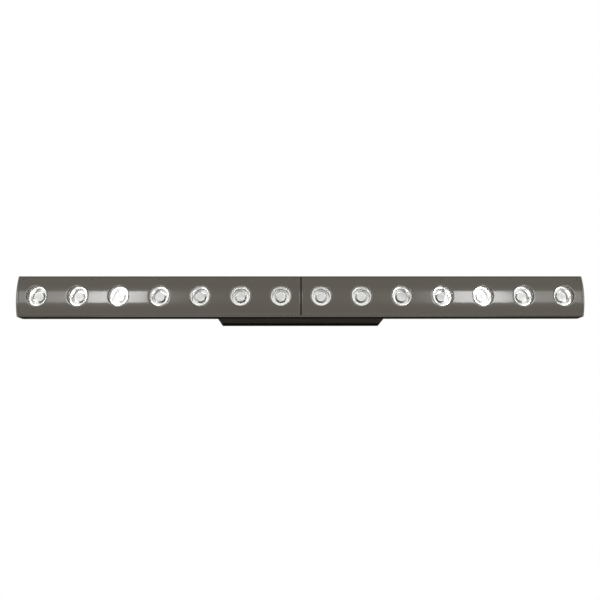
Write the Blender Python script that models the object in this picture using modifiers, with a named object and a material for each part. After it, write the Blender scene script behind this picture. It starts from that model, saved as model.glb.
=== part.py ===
# A linear floodlight: fourteen recessed lamps in a straight extruded bar, with a driver box
# behind its middle, a tilting yoke round the box, and the sockets and menu on the box's rear.
# The bar runs along X, the lamps face -Y, and Z = 0 is the flat underside. X = 0 and Y = 0
# lie under the middle of the tilt axis.

import math

import bmesh
import bpy
from mathutils import Matrix, Vector

MM = 0.001

# Bar
BAR_LENGTH = 1000.0 * MM
BAR_HEIGHT = 72.6 * MM
FRONT_RADIUS = 77.0 * MM
HOUSING_WALL = 2.2 * MM
BASE_WALL = 3.0 * MM
FIN_HEIGHT = 8.0 * MM
FIN_THICKNESS = 2.0 * MM
FIN_PITCH = 6.4 * MM
FINS_EACH_SIDE = 2
CAP_THICKNESS = 3.0 * MM
LAMP_COUNT = 14
GAP = 0.3 * MM
CUT_OVERRUN = 2.0 * MM

# Front panels
PANEL_THICKNESS = 2.5 * MM
PANEL_SEAM = 1.2 * MM
PANEL_END_SOFTENING = 0.9 * MM
LAMP_HOLE_RADIUS = 18.5 * MM
LAMP_HOLE_TAPER = 1.5 * MM
LAMP_TUBE_RADIUS = 20.0 * MM
PANEL_SCREW_COUNT = 5
PANEL_SCREW_INSET = 10.0 * MM
PANEL_SCREW_HEIGHT = 30.0 * MM

# Lenses, their tray, and the boards with the emitters
LENS_RECESS = 10.0 * MM
LENS_RADIUS = 17.5 * MM
LENS_HEIGHT = 15.0 * MM
LENS_FLANGE = 1.8 * MM
LENS_NECK_RADIUS = 15.6 * MM
LENS_FOOT_RADIUS = 6.2 * MM
LENS_WAIST_SHARES = (0.62, 0.64)
LENS_CAVITY_RADIUS = 3.9 * MM
LENS_CAVITY_DEPTH = 6.0 * MM
LENS_CAVITY_CROWN = 1.0 * MM
LENS_FOOT_CLEARANCE = 0.6 * MM
TRAY_THICKNESS = 2.0 * MM
TRAY_HOLE_CLEARANCE = 0.9 * MM
TRAY_KEY = 1.7 * MM
BOARD_THICKNESS = 1.6 * MM
BOARD_HEIGHT = 46.0 * MM
BOARD_MIDDLE_GAP = 14.0 * MM
PAD_THICKNESS = 0.5 * MM
PAD_HEIGHT = 26.0 * MM
EMITTER_RADIUS = 3.2 * MM
EMITTER_TOP_RADIUS = 2.3 * MM
EMITTER_HEIGHT = 1.9 * MM

# Ribs and screw ports of the extrusion
RIB_INNER_HEIGHT = 21.5 * MM
RIB_BEHIND_TRAY = 5.1 * MM
SCREW_SLOT_WIDTH = 2.9 * MM
SCREW_SLOT_SPARE = 0.8 * MM
PORT_RADIUS = 1.65 * MM
PORT_WALL = 1.65 * MM
FRONT_PORT_DROP = 5.3 * MM
CORNER_BLOCK_HEIGHT = 6.0 * MM
MOUNT_RIB_HEIGHT = 21.0 * MM
MOUNT_RIB_WIDTH = 6.0 * MM

# Screws
SMALL_HEAD_RADIUS = 2.9 * MM
SCREW_HEAD_SINK = 0.4 * MM
SMALL_SHANK_RADIUS = 1.15 * MM
PANEL_SCREW_LENGTH = 10.5 * MM
CAP_SCREW_LENGTH = 14.0 * MM
BOARD_SCREW_HEIGHT = 16.0 * MM
BOARD_SCREW_HEAD_RADIUS = 2.7 * MM
BOARD_SCREW_HEAD_HEIGHT = 1.8 * MM
BOARD_SCREW_SHANK_RADIUS = 1.45 * MM
BOX_SCREW_HEAD_RADIUS = 3.8 * MM
BOX_SCREW_HEAD_HEIGHT = 2.8 * MM
BOX_SCREW_SHANK_RADIUS = 2.0 * MM
BOX_SCREW_BITE = 6.0 * MM
BOX_SCREW_INSET = 23.5 * MM
COVER_SCREW_LENGTH = 50.0 * MM
COVER_SCREW_HEAD_HEIGHT = 2.3 * MM
FLANGE_SCREW_HEAD_RADIUS = 2.6 * MM
FLANGE_SCREW_HEAD_HEIGHT = 1.5 * MM
FLANGE_SCREW_LENGTH = 7.0 * MM

# Driver box
BOX_WIDTH = 299.0 * MM
BOX_WALL = 2.5 * MM
BOX_FRONT_WALL = 3.0 * MM
BOX_EDGE_RADIUS = 1.5 * MM
DRIVER_HOUSING_DEPTH = 57.8 * MM
PIVOT_SETBACK = 30.4 * MM
PILLAR_WIDTH = 11.0 * MM
PILLAR_DRAFT = 0.6 * MM
PILLAR_HOLE_DEPTH = 14.0 * MM
COVER_DEPTH = 37.3 * MM
COVER_PLATE = 3.0 * MM
SEAL_THICKNESS = 1.0 * MM
SEAL_INSET = 0.8 * MM
SEAL_WIDTH = 1.6 * MM
GROMMET_RADIUS = 6.0 * MM
GROMMET_BORE_RADIUS = 4.0 * MM
GROMMET_LIP_RADIUS = 8.5 * MM
GROMMET_LIP = 1.5 * MM
LEAD_RADIUS = 1.2 * MM
LEAD_SPACING = 4.6 * MM
LEAD_REACH = 13.0 * MM
LEAD_RISE = 5.5 * MM
SUPPLY_END_CLEARANCE = 10.0 * MM
SUPPLY_HEIGHT = 52.0 * MM
SUPPLY_DEPTH = 41.0 * MM
SUPPLY_EDGE = 2.0 * MM
SUPPLY_INNER_X = 14.0 * MM

# Menu
CONTROL_BOARD_WIDTH = 84.0 * MM
CONTROL_BOARD_HEIGHT = 56.0 * MM
CONTROL_BOARD_SETBACK = 9.7 * MM
BOARD_POST_RADIUS = 2.6 * MM
BOARD_POST_INSET = 4.0 * MM
DISPLAY_WIDTH = 42.0 * MM
DISPLAY_HEIGHT = 17.0 * MM
DISPLAY_RISE = 10.5 * MM
WINDOW_THICKNESS = 1.5 * MM
WINDOW_BORDER = 3.0 * MM
BUTTON_COUNT = 4
BUTTON_RADIUS = 4.5 * MM
BUTTON_PITCH = 15.0 * MM
BUTTON_DROP = 15.5 * MM
BUTTON_PROUD = 1.9 * MM
BUTTON_FLANGE_RADIUS = 5.8 * MM
BUTTON_FLANGE = 1.2 * MM
BUTTON_STEM_RADIUS = 1.8 * MM
BUTTON_TRAVEL = 0.8 * MM
BUTTON_EDGE = 0.6 * MM
SWITCH_WIDTH = 6.0 * MM
SWITCH_HEIGHT = 0.8 * MM

# Sockets, fuse and safety eye on the rear face
FLANGE_WIDTH = 26.0 * MM
FLANGE_HEIGHT = 31.0 * MM
FLANGE_THICKNESS = 2.2 * MM
FLANGE_CORNER = 3.0 * MM
SOCKET_RADIUS = 11.8 * MM
SOCKET_LENGTH = 23.0 * MM
SOCKET_BORE_RADIUS = 9.4 * MM
SOCKET_BORE_DEPTH = 14.0 * MM
FLANGE_SCREW_X = 9.6 * MM
FLANGE_SCREW_Z = 12.1 * MM
PILLAR_SPACE = 5.5 * MM
SOCKET_SPACE = 4.0 * MM
FUSE_SPACE = 8.0 * MM
BOARD_SPACE = 9.0 * MM
EYE_SPACE = 4.5 * MM
PIN_RADIUS = 1.2 * MM
PIN_CIRCLE_RADIUS = 5.6 * MM
PIN_LENGTH = 9.0 * MM
PIN_COUNT = 3
SOCKET_INSERT_RADIUS = 7.4 * MM
PIN_HOLE_DEPTH = 8.0 * MM
LATCH_WIDTH = 7.0 * MM
LATCH_HEIGHT = 4.0 * MM
LATCH_PROUD = 2.6 * MM
LATCH_TRAVEL = 1.5 * MM
LATCH_LENGTH = 7.0 * MM
LATCH_CENTRE_Z = 12.6 * MM
FUSE_RADIUS = 6.0 * MM
FUSE_FLANGE_RADIUS = 9.0 * MM
FUSE_FLANGE = 1.8 * MM
FUSE_LENGTH = 26.0 * MM
FUSE_BORE_RADIUS = 4.0 * MM
FUSE_CAP_RADIUS = 7.0 * MM
FUSE_CAP_HEIGHT = 6.5 * MM
FUSE_CAP_PLUG = 8.0 * MM
FUSE_SLOT_WIDTH = 1.6 * MM
FUSE_SLOT_DEPTH = 1.8 * MM
EYE_WIRE_RADIUS = 2.5 * MM
EYE_SPREAD = 20.0 * MM
EYE_REACH_SHARE = 0.572391
EYE_BEND_SHARE = 0.588235
EYE_LEG = 7.0 * MM

# Yoke and its knobs
YOKE_WIDTH = 28.0 * MM
YOKE_THICKNESS = 4.0 * MM
YOKE_REACH = 100.0 * MM
YOKE_BEND_RADIUS = 9.0 * MM
YOKE_CLAMP_HOLE_RADIUS = 6.5 * MM
YOKE_SIDE_HOLE_RADIUS = 4.5 * MM
YOKE_SIDE_HOLE_X = 60.0 * MM
WASHER_RADIUS = 12.0 * MM
WASHER_THICKNESS = 1.2 * MM
STUD_RADIUS = 4.0 * MM
BOSS_RADIUS = 10.0 * MM
BOSS_LENGTH = 8.0 * MM
KNOB_RADIUS = 16.0 * MM
KNOB_LOBE = 1.3 * MM
KNOB_LOBES = 7
KNOB_HEIGHT = 13.0 * MM
KNOB_COLLAR_RADIUS = 10.5 * MM
KNOB_COLLAR = 3.0 * MM
KNOB_EDGE = 1.5 * MM

# Facets round the round pieces
HOLE_SEGMENTS = 20
TUBE_SEGMENTS = 12
LENS_SEGMENTS = 16
SCREW_SEGMENTS = 8
SMALL_SEGMENTS = 6
SOCKET_SEGMENTS = 16
ARC_SEGMENTS = 10
CORNER_SEGMENTS = 2
BEND_STEPS = 6

# Places worked out from the sizes above; a depth is counted back from the front of the panels
mid_height = BAR_HEIGHT / 2
half_length = BAR_LENGTH / 2
lamp_pitch = BAR_LENGTH / LAMP_COUNT
lens_rear = LENS_RECESS + LENS_HEIGHT
board_front = lens_rear + LENS_FOOT_CLEARANCE
board_rear = board_front + BOARD_THICKNESS
pad_front = board_rear + GAP
base_front = pad_front + PAD_THICKNESS + GAP
base_rear = base_front + BASE_WALL
fin_tip = base_rear + FIN_HEIGHT
box_front = fin_tip + GAP
box_floor = box_front + BOX_FRONT_WALL
box_rear = box_front + DRIVER_HOUSING_DEPTH
seal_front = box_rear + GAP
cover_front = seal_front + SEAL_THICKNESS + GAP
cover_rear = cover_front + COVER_DEPTH
cover_plate = cover_rear - COVER_PLATE
pivot_depth = box_front + PIVOT_SETBACK
half_box = BOX_WIDTH / 2
tray_front = LENS_RECESS + LENS_FLANGE + GAP
tray_rear = tray_front + TRAY_THICKNESS
ledge_radius = FRONT_RADIUS - PANEL_THICKNESS - GAP
inner_height = mid_height - HOUSING_WALL
panel_half_height = inner_height - GAP
rib_rear = tray_rear + RIB_BEHIND_TRAY
socket_face = cover_rear + GAP
tube_rear = LENS_RECESS - GAP
control_front = cover_plate - CONTROL_BOARD_SETBACK - BOARD_THICKNESS
yoke_inner_x = half_box + GAP + WASHER_THICKNESS + GAP
yoke_outer_x = yoke_inner_x + YOKE_THICKNESS
housing_end = half_length - CAP_THICKNESS - GAP
box_screw_x = half_box - BOX_SCREW_INSET
supply_length = box_screw_x - SUPPLY_END_CLEARANCE - SUPPLY_INNER_X
yoke_space = pivot_depth + YOKE_REACH - YOKE_THICKNESS - cover_rear
eye_reach = yoke_space * EYE_REACH_SHARE

# The fittings on the rear face share the free width between them
fittings_width = PILLAR_WIDTH + 2 * FLANGE_WIDTH + 2 * FUSE_FLANGE_RADIUS + CONTROL_BOARD_WIDTH / 2
spaces_width = PILLAR_SPACE + SOCKET_SPACE + FUSE_SPACE + BOARD_SPACE
spread = (half_box - fittings_width) / spaces_width
outer_socket_x = half_box - PILLAR_WIDTH - PILLAR_SPACE * spread - FLANGE_WIDTH / 2
inner_socket_x = outer_socket_x - FLANGE_WIDTH - SOCKET_SPACE * spread
fuse_x = inner_socket_x - FLANGE_WIDTH / 2 - FUSE_SPACE * spread - FUSE_FLANGE_RADIUS
eye_half = EYE_SPREAD / 2 + EYE_WIRE_RADIUS
eye_x = inner_socket_x - FLANGE_WIDTH / 2 - EYE_SPACE * spread - eye_half


def place(depth):
    """Y of a depth behind the front of the panels."""
    return depth - pivot_depth


def point(x, depth, height):
    """A point from its X, its depth, and its height above the middle of the bar."""
    return Vector((x, place(depth), mid_height + height))


def arc_depth(radius, height):
    """Depth of an arc about the centre of the curved front, at a height from the middle."""
    return FRONT_RADIUS - math.sqrt(radius * radius - height * height)


def start_scene():
    """Empty the scene and make one collection for the parts and one for the cutters."""
    for old in list(bpy.data.objects):
        bpy.data.objects.remove(old, do_unlink=True)
    made = []
    for name in ("linear_floodlight", "floodlight_cutters"):
        collection = bpy.data.collections.new(name)
        bpy.context.scene.collection.children.link(collection)
        made.append(collection)
    return made


parts, cutters = start_scene()


def finish(name, colour, roughness, metallic):
    """A material with one colour, roughness and metallic value."""
    material = bpy.data.materials.new(name)
    material.use_nodes = True
    shader = material.node_tree.nodes["Principled BSDF"]
    shader.inputs["Base Color"].default_value = (*colour, 1)
    shader.inputs["Roughness"].default_value = roughness
    shader.inputs["Metallic"].default_value = metallic
    material.diffuse_color = (*colour, 1)
    return material


def add_part(name, mesh, material, origin=(0, 0, 0)):
    """An object of the floodlight from a mesh in world places, with its origin where given."""
    mesh.transform(Matrix.Translation(-Vector(origin)))
    mesh.materials.clear()
    mesh.materials.append(material)
    mesh.shade_smooth()
    mesh.set_sharp_from_angle(angle=math.radians(30))
    mesh.name = name
    part = bpy.data.objects.new(name, mesh)
    part.location = origin
    parts.objects.link(part)
    return part


def add_cutter(name, mesh):
    """A tool for a Boolean, left out of the model."""
    tool = bpy.data.objects.new(name, mesh)
    tool.hide_render = True
    tool.display_type = "WIRE"
    cutters.objects.link(tool)
    return tool


def shape_with(part, tool, operation):
    """Cut a tool from a part, join it on, or keep what they share."""
    change = part.modifiers.new(tool.name, "BOOLEAN")
    change.operation = operation
    change.solver = "EXACT"
    change.object = tool


def mesh_from(bm, name):
    """A mesh from a bmesh, with its faces pointing outwards."""
    bmesh.ops.recalc_face_normals(bm, faces=bm.faces)
    mesh = bpy.data.meshes.new(name)
    bm.to_mesh(mesh)
    bm.free()
    return mesh


def add_box(bm, low, high):
    """A box between two corners."""
    size = high - low
    middle = Matrix.Translation((low + high) / 2)
    bmesh.ops.create_cube(bm, size=1, matrix=middle @ Matrix.Diagonal((*size, 1)))


def add_rod(bm, radius, start, end, segments, end_radius=None):
    """A cylinder or cone frustum between two points."""
    along = end - start
    turn = along.to_track_quat("Z", "Y").to_matrix().to_4x4()
    bmesh.ops.create_cone(
        bm,
        cap_ends=True,
        segments=segments,
        radius1=radius,
        radius2=radius if end_radius is None else end_radius,
        depth=along.length,
        matrix=Matrix.Translation((start + end) / 2) @ turn,
    )


def evaluated_mesh(thing, name):
    """The mesh of an object as it is shown, in world places, with its doubles merged."""
    bpy.context.view_layer.update()
    graph = bpy.context.evaluated_depsgraph_get()
    mesh = bpy.data.meshes.new_from_object(thing.evaluated_get(graph), depsgraph=graph)
    mesh.transform(thing.matrix_world)
    bm = bmesh.new()
    bm.from_mesh(mesh)
    bmesh.ops.remove_doubles(bm, verts=bm.verts, dist=MM / 1000)
    bpy.data.meshes.remove(mesh)
    return mesh_from(bm, name)


def outline_mesh(name, loops, axis, start, end):
    """Flat closed outlines extruded along X (given in Y, Z), Y (in X, Z) or Z (in X, Y)."""
    curve = bpy.data.curves.new(name, "CURVE")
    curve.dimensions = "2D"
    curve.fill_mode = "BOTH"
    curve.extrude = (end - start) / 2
    for loop in loops:
        spline = curve.splines.new("POLY")
        spline.points.add(len(loop) - 1)
        for corner, (across, up) in zip(spline.points, loop):
            corner.co = (across, up, 0, 1)
        spline.use_cyclic_u = True
    thing = bpy.data.objects.new(name, curve)
    bpy.context.scene.collection.objects.link(thing)
    quarter = math.pi / 2
    thing.rotation_euler = {"X": (quarter, 0, quarter), "Y": (quarter, 0, 0), "Z": (0, 0, 0)}[axis]
    thing.location = [(start + end) / 2 if axis == letter else 0 for letter in "XYZ"]
    mesh = evaluated_mesh(thing, name)
    bpy.data.objects.remove(thing, do_unlink=True)
    return mesh


def prism_mesh(name, loop, start, end):
    """A closed outline in Y and Z, extruded along X, with a single face at each end."""
    bm = bmesh.new()
    left, right = [[bm.verts.new((x, y, z)) for y, z in loop] for x in (start, end)]
    bm.faces.new(left)
    bm.faces.new(right)
    for index in range(len(loop)):
        bm.faces.new((left[index - 1], left[index], right[index], right[index - 1]))
    return mesh_from(bm, name)


def turned_mesh(name, profile, segments, closed=False):
    """A profile of (radius, height) points, outer side downwards, turned round the Z axis."""
    mesh = bpy.data.meshes.new(name)
    count = len(profile)
    edges = [(index, index + 1) for index in range(count - 1)]
    if closed:
        edges.append((count - 1, 0))
    mesh.from_pydata([(radius, 0, height) for radius, height in profile], edges, [])
    thing = bpy.data.objects.new(name, mesh)
    bpy.context.scene.collection.objects.link(thing)
    turn = thing.modifiers.new("Turn", "SCREW")
    turn.axis = "Z"
    turn.steps = segments
    turn.render_steps = segments
    turn.use_merge_vertices = True
    turn.merge_threshold = 0.0001
    made = evaluated_mesh(thing, name)
    bpy.data.objects.remove(thing, do_unlink=True)
    return made


def tube_mesh(name, route, radius):
    """A round wire or rod along the points of a route."""
    curve = bpy.data.curves.new(name, "CURVE")
    curve.dimensions = "3D"
    curve.bevel_depth = radius
    curve.bevel_resolution = 2
    curve.use_fill_caps = True
    spline = curve.splines.new("POLY")
    spline.points.add(len(route) - 1)
    for knot, spot in zip(spline.points, route):
        knot.co = (*spot, 1)
    thing = bpy.data.objects.new(name, curve)
    bpy.context.scene.collection.objects.link(thing)
    mesh = evaluated_mesh(thing, name)
    bpy.data.objects.remove(thing, do_unlink=True)
    return mesh


def copies_mesh(name, mesh, spots):
    """Copies of one mesh in one node; a spot is a place and the way its Z axis turns to."""
    bm = bmesh.new()
    for spot, toward in spots:
        before = set(bm.verts)
        bm.from_mesh(mesh)
        new = [vert for vert in bm.verts if vert not in before]
        turn = Vector(toward).to_track_quat("Z", "Y").to_matrix().to_4x4()
        bmesh.ops.transform(bm, matrix=Matrix.Translation(spot) @ turn, verts=new)
    return mesh_from(bm, name)


def rods_mesh(name, radius, ends, segments, end_radius=None):
    """Several rods of one size in one mesh."""
    bm = bmesh.new()
    for start, end in ends:
        add_rod(bm, radius, start, end, segments, end_radius)
    return mesh_from(bm, name)


def box_mesh(name, low, high):
    """One box as a mesh."""
    bm = bmesh.new()
    add_box(bm, Vector(low), Vector(high))
    return mesh_from(bm, name)


def soften(part, width, segments=2):
    """Rounded edges, on all corners sharper than thirty degrees."""
    edge = part.modifiers.new("Edges", "BEVEL")
    edge.width = width
    edge.segments = segments
    edge.limit_method = "ANGLE"
    edge.angle_limit = math.radians(40)
    edge.use_clamp_overlap = True


def arc_points(radius, low, high, count):
    """(Y, Z) points on an arc about the centre of the curved front, between two heights."""
    first = math.asin(low / radius)
    last = math.asin(high / radius)
    spots = []
    for step in range(count + 1):
        angle = first + (last - first) * step / count
        depth = FRONT_RADIUS - radius * math.cos(angle)
        spots.append((place(depth), mid_height + radius * math.sin(angle)))
    return spots


def round_loop(across, up, radius, count):
    """A closed ring of points round a centre."""
    angles = [2 * math.pi * step / count for step in range(count)]
    return [(across + radius * math.cos(a), up + radius * math.sin(a)) for a in angles]


def rounded_rectangle(across, up, width, height, radius):
    """A closed rectangle outline with rounded corners."""
    loop = []
    for quarter, (side, top) in enumerate(((1, 1), (-1, 1), (-1, -1), (1, -1))):
        centre = (across + side * (width / 2 - radius), up + top * (height / 2 - radius))
        for step in range(CORNER_SEGMENTS + 1):
            angle = math.pi / 2 * (quarter + step / CORNER_SEGMENTS)
            loop.append((centre[0] + radius * math.cos(angle), centre[1] + radius * math.sin(angle)))
    return loop


def countersunk_screw(name, head_radius, head_height, shank_radius, length, segments):
    """A countersunk screw, its head's flat top at Z = 0 and its point below."""
    tip = length - shank_radius
    profile = [(0, 0), (head_radius, 0), (shank_radius, -head_height), (shank_radius, -tip), (0, -length)]
    return turned_mesh(name, profile, segments)


def pan_screw(name, head_radius, head_height, shank_radius, length, segments):
    """A screw with a raised head that stands on Z = 0."""
    profile = [
        (0, head_height),
        (head_radius, head_height),
        (head_radius, 0),
        (shank_radius, 0),
        (shank_radius, -length),
        (0, -length),
    ]
    return turned_mesh(name, profile, segments)


def lamp_places():
    """X of each lamp, from the left end to the right."""
    return [(index + 0.5) * lamp_pitch - half_length for index in range(LAMP_COUNT)]


def panel_screw_places(side):
    """X of the screws along one edge of one panel."""
    span = half_length - 2 * PANEL_SCREW_INSET
    last = PANEL_SCREW_COUNT - 1
    return [side * (PANEL_SCREW_INSET + span * step / last) for step in range(PANEL_SCREW_COUNT)]


def panel_screw_spots(side):
    """Where each panel screw's head lies on the curved front, and which way it faces."""
    angle = math.asin(PANEL_SCREW_HEIGHT / FRONT_RADIUS)
    spots = []
    for x in panel_screw_places(side):
        for top in (1, -1):
            facing = Vector((0, -math.cos(angle), top * math.sin(angle)))
            centre = point(x, FRONT_RADIUS, 0)
            spots.append((centre + facing * FRONT_RADIUS, facing))
    return spots


def cap_port_places():
    """Depth and height of the four screw ports at each end of the bar."""
    front = (rib_rear - PORT_WALL - PORT_RADIUS, mid_height - FRONT_PORT_DROP)
    rear = (base_rear + FIN_HEIGHT / 2, mid_height - CORNER_BLOCK_HEIGHT / 2)
    return [(depth, top * height) for depth, height in (front, rear) for top in (1, -1)]


def board_screw_places():
    """X of the board screws: halfway between every second pair of lamps."""
    half = LAMP_COUNT // 2
    return [side * step * lamp_pitch for side in (-1, 1) for step in range(1, half, 2)]


def housing_loop():
    """The outline of the extruded housing, upper half first and then its mirror image."""
    slot_angle = math.asin(PANEL_SCREW_HEIGHT / FRONT_RADIUS)
    half_slot = SCREW_SLOT_WIDTH / 2
    slot_floor = FRONT_RADIUS - PANEL_SCREW_LENGTH - SCREW_SLOT_SPARE
    along = (math.cos(slot_angle), math.sin(slot_angle))

    def slot_corner(radius, offset):
        depth = FRONT_RADIUS - radius * along[0] + offset * along[1]
        return depth, radius * along[1] + offset * along[0]

    key_height = RIB_INNER_HEIGHT + TRAY_KEY + GAP
    half = [
        (base_front, inner_height),
        (rib_rear, inner_height),
        (rib_rear, RIB_INNER_HEIGHT),
        (tray_rear + GAP, RIB_INNER_HEIGHT),
        (tray_rear + GAP, key_height),
        (tray_front - GAP, key_height),
        (tray_front - GAP, RIB_INNER_HEIGHT),
        (arc_depth(ledge_radius, RIB_INNER_HEIGHT), RIB_INNER_HEIGHT),
        slot_corner(ledge_radius, -half_slot),
        slot_corner(slot_floor, -half_slot),
        slot_corner(slot_floor, half_slot),
        slot_corner(ledge_radius, half_slot),
        (arc_depth(ledge_radius, inner_height), inner_height),
        (arc_depth(FRONT_RADIUS, inner_height), inner_height),
        (arc_depth(FRONT_RADIUS, mid_height), mid_height),
        (fin_tip, mid_height),
        (fin_tip, mid_height - CORNER_BLOCK_HEIGHT),
        (base_rear, mid_height - CORNER_BLOCK_HEIGHT),
        (base_rear, MOUNT_RIB_HEIGHT + MOUNT_RIB_WIDTH / 2),
        (fin_tip, MOUNT_RIB_HEIGHT + MOUNT_RIB_WIDTH / 2),
        (fin_tip, MOUNT_RIB_HEIGHT - MOUNT_RIB_WIDTH / 2),
        (base_rear, MOUNT_RIB_HEIGHT - MOUNT_RIB_WIDTH / 2),
    ]
    for fin in range(FINS_EACH_SIDE, 0, -1):
        top = fin * FIN_PITCH + FIN_THICKNESS / 2
        bottom = fin * FIN_PITCH - FIN_THICKNESS / 2
        half += [(base_rear, top), (fin_tip, top), (fin_tip, bottom), (base_rear, bottom)]
    half += [(base_rear, FIN_THICKNESS / 2), (fin_tip, FIN_THICKNESS / 2)]
    mirrored = [(depth, -height) for depth, height in reversed(half)]
    return [(place(depth), mid_height + height) for depth, height in half + mirrored]


def housing_extrusion():
    """The extruded aluminium housing, with its fins, screw slots, tray grooves and ports."""
    ports = [
        round_loop(place(depth), mid_height + height, PORT_RADIUS, SCREW_SEGMENTS)
        for depth, height in cap_port_places()
    ]
    mesh = prism_mesh("housing_extrusion", housing_loop(), -housing_end, housing_end)
    metal = finish("housing black", (0.035, 0.032, 0.028), 0.42, 0.0)
    housing = add_part("housing_extrusion", mesh, metal)
    channels = outline_mesh("housing_ports", ports, "X", -half_length, half_length)
    shape_with(housing, add_cutter("housing_ports", channels), "DIFFERENCE")
    bm = bmesh.new()
    for x in board_screw_places():
        for height in (BOARD_SCREW_HEIGHT, -BOARD_SCREW_HEIGHT):
            start = point(x, base_front - CUT_OVERRUN, height)
            end = point(x, base_rear + CUT_OVERRUN, height)
            add_rod(bm, BOARD_SCREW_SHANK_RADIUS + GAP, start, end, SMALL_SEGMENTS)
    for x in (box_screw_x, -box_screw_x):
        for height in (MOUNT_RIB_HEIGHT, -MOUNT_RIB_HEIGHT):
            start = point(x, fin_tip - BOX_SCREW_BITE - GAP, height)
            end = point(x, fin_tip + CUT_OVERRUN, height)
            add_rod(bm, BOX_SCREW_SHANK_RADIUS + GAP, start, end, SCREW_SEGMENTS)
    start = point(0, base_front - CUT_OVERRUN, 0)
    end = point(0, fin_tip + CUT_OVERRUN, 0)
    add_rod(bm, GROMMET_RADIUS + GAP, start, end, TUBE_SEGMENTS)
    shape_with(housing, add_cutter("housing_holes", mesh_from(bm, "housing_holes")), "DIFFERENCE")


def screw_dimples(name, spots):
    """A cutter that sinks the head of each screw a little, from (place, facing) spots."""
    ends = [(spot - facing * SCREW_HEAD_SINK, spot + facing * CUT_OVERRUN) for spot, facing in spots]
    return add_cutter(name, rods_mesh(name, SMALL_HEAD_RADIUS, ends, SCREW_SEGMENTS))


def screw_shanks(name, spots, depth, length, radius, segments):
    """The shanks of screws behind their heads, from inside what they hold to their points."""
    ends = [(spot - facing * depth, spot - facing * length) for spot, facing in spots]
    return add_cutter(name, rods_mesh(name, radius, ends, segments))


def end_cap(name, side):
    """The flat plate that closes one end of the bar, with the four screws that hold it."""
    loop = arc_points(FRONT_RADIUS, -mid_height, mid_height, ARC_SEGMENTS)
    loop += [(place(fin_tip), mid_height * 2), (place(fin_tip), 0)]
    low, high = sorted((side * half_length, side * (half_length - CAP_THICKNESS)))
    paint = finish(name + " paint", (0.085, 0.08, 0.07), 0.38, 0.0)
    cap = add_part(name, outline_mesh(name, [loop], "X", low, high), paint)
    facing = Vector((side, 0, 0))
    spots = [(point(side * half_length, depth, height), facing) for depth, height in cap_port_places()]
    shape_with(cap, screw_dimples(name + "_heads", spots), "DIFFERENCE")
    middle = CAP_THICKNESS / 2
    shanks = screw_shanks(
        name + "_shanks", spots, middle, CAP_SCREW_LENGTH, SMALL_SHANK_RADIUS, SCREW_SEGMENTS
    )
    shape_with(cap, shanks, "UNION")


def panel_ends(side):
    """The two X ends of one front panel, low first."""
    inner = side * PANEL_SEAM / 2
    outer = side * (half_length - CAP_THICKNESS - GAP)
    return sorted((inner, outer))


def soften_panel_ends(mesh, low, high):
    """Round the panel's outer edges at its two ends."""
    bm = bmesh.new()
    bm.from_mesh(mesh)
    edges = []
    for edge in bm.edges:
        ends_here = [all(abs(vert.co.x - x) < GAP for vert in edge.verts) for x in (low, high)]
        on_front = all(
            abs(math.hypot(vert.co.y - place(FRONT_RADIUS), vert.co.z - mid_height) - FRONT_RADIUS) < GAP
            for vert in edge.verts
        )
        if any(ends_here) and on_front:
            edges.append(edge)
    bmesh.ops.bevel(bm, geom=edges, offset=PANEL_END_SOFTENING, segments=2, profile=0.5, affect="EDGES")
    return mesh_from(bm, mesh.name)


def front_panel(name, side):
    """One curved front panel, with a tapering tube round each lamp and its ten small screws."""
    low, high = panel_ends(side)
    edge = panel_half_height
    skin = arc_points(FRONT_RADIUS, -edge, edge, ARC_SEGMENTS)
    skin += reversed(arc_points(FRONT_RADIUS - PANEL_THICKNESS, -edge, edge, ARC_SEGMENTS))
    mesh = soften_panel_ends(outline_mesh(name, [skin], "X", low, high), low, high)
    paint = finish(name + " paint", (0.11, 0.1, 0.085), 0.24, 0.0)
    panel = add_part(name, mesh, paint)
    lamps = [x for x in lamp_places() if x * side > 0]

    tubes = bmesh.new()
    for x in lamps:
        add_rod(tubes, LAMP_TUBE_RADIUS, point(x, -CUT_OVERRUN, 0), point(x, tube_rear, 0), TUBE_SEGMENTS)
    tube_tool = add_cutter(name + "_tubes", mesh_from(tubes, name + "_tubes"))
    core_height = LAMP_TUBE_RADIUS + PANEL_THICKNESS
    core = arc_points(FRONT_RADIUS - PANEL_THICKNESS / 2, -core_height, core_height, ARC_SEGMENTS)
    core += [(place(tube_rear + CUT_OVERRUN), mid_height + core_height)]
    core += [(place(tube_rear + CUT_OVERRUN), mid_height - core_height)]
    core_mesh = outline_mesh(name + "_core", [core], "X", low, high)
    shape_with(tube_tool, add_cutter(name + "_core", core_mesh), "INTERSECT")
    shape_with(panel, tube_tool, "UNION")

    holes = bmesh.new()
    taper = LAMP_HOLE_TAPER / tube_rear
    for x in lamps:
        wide = LAMP_HOLE_RADIUS + taper * CUT_OVERRUN
        narrow = LAMP_HOLE_RADIUS - LAMP_HOLE_TAPER - taper * CUT_OVERRUN
        start = point(x, -CUT_OVERRUN, 0)
        add_rod(holes, wide, start, point(x, tube_rear + CUT_OVERRUN, 0), HOLE_SEGMENTS, narrow)
    shape_with(panel, add_cutter(name + "_lamp_holes", mesh_from(holes, name + "_lamp_holes")), "DIFFERENCE")

    spots = panel_screw_spots(side)
    shape_with(panel, screw_dimples(name + "_heads", spots), "DIFFERENCE")
    middle = PANEL_THICKNESS / 2
    shanks = screw_shanks(
        name + "_shanks", spots, middle, PANEL_SCREW_LENGTH, SMALL_SHANK_RADIUS, SCREW_SEGMENTS
    )
    shape_with(panel, shanks, "UNION")


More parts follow.
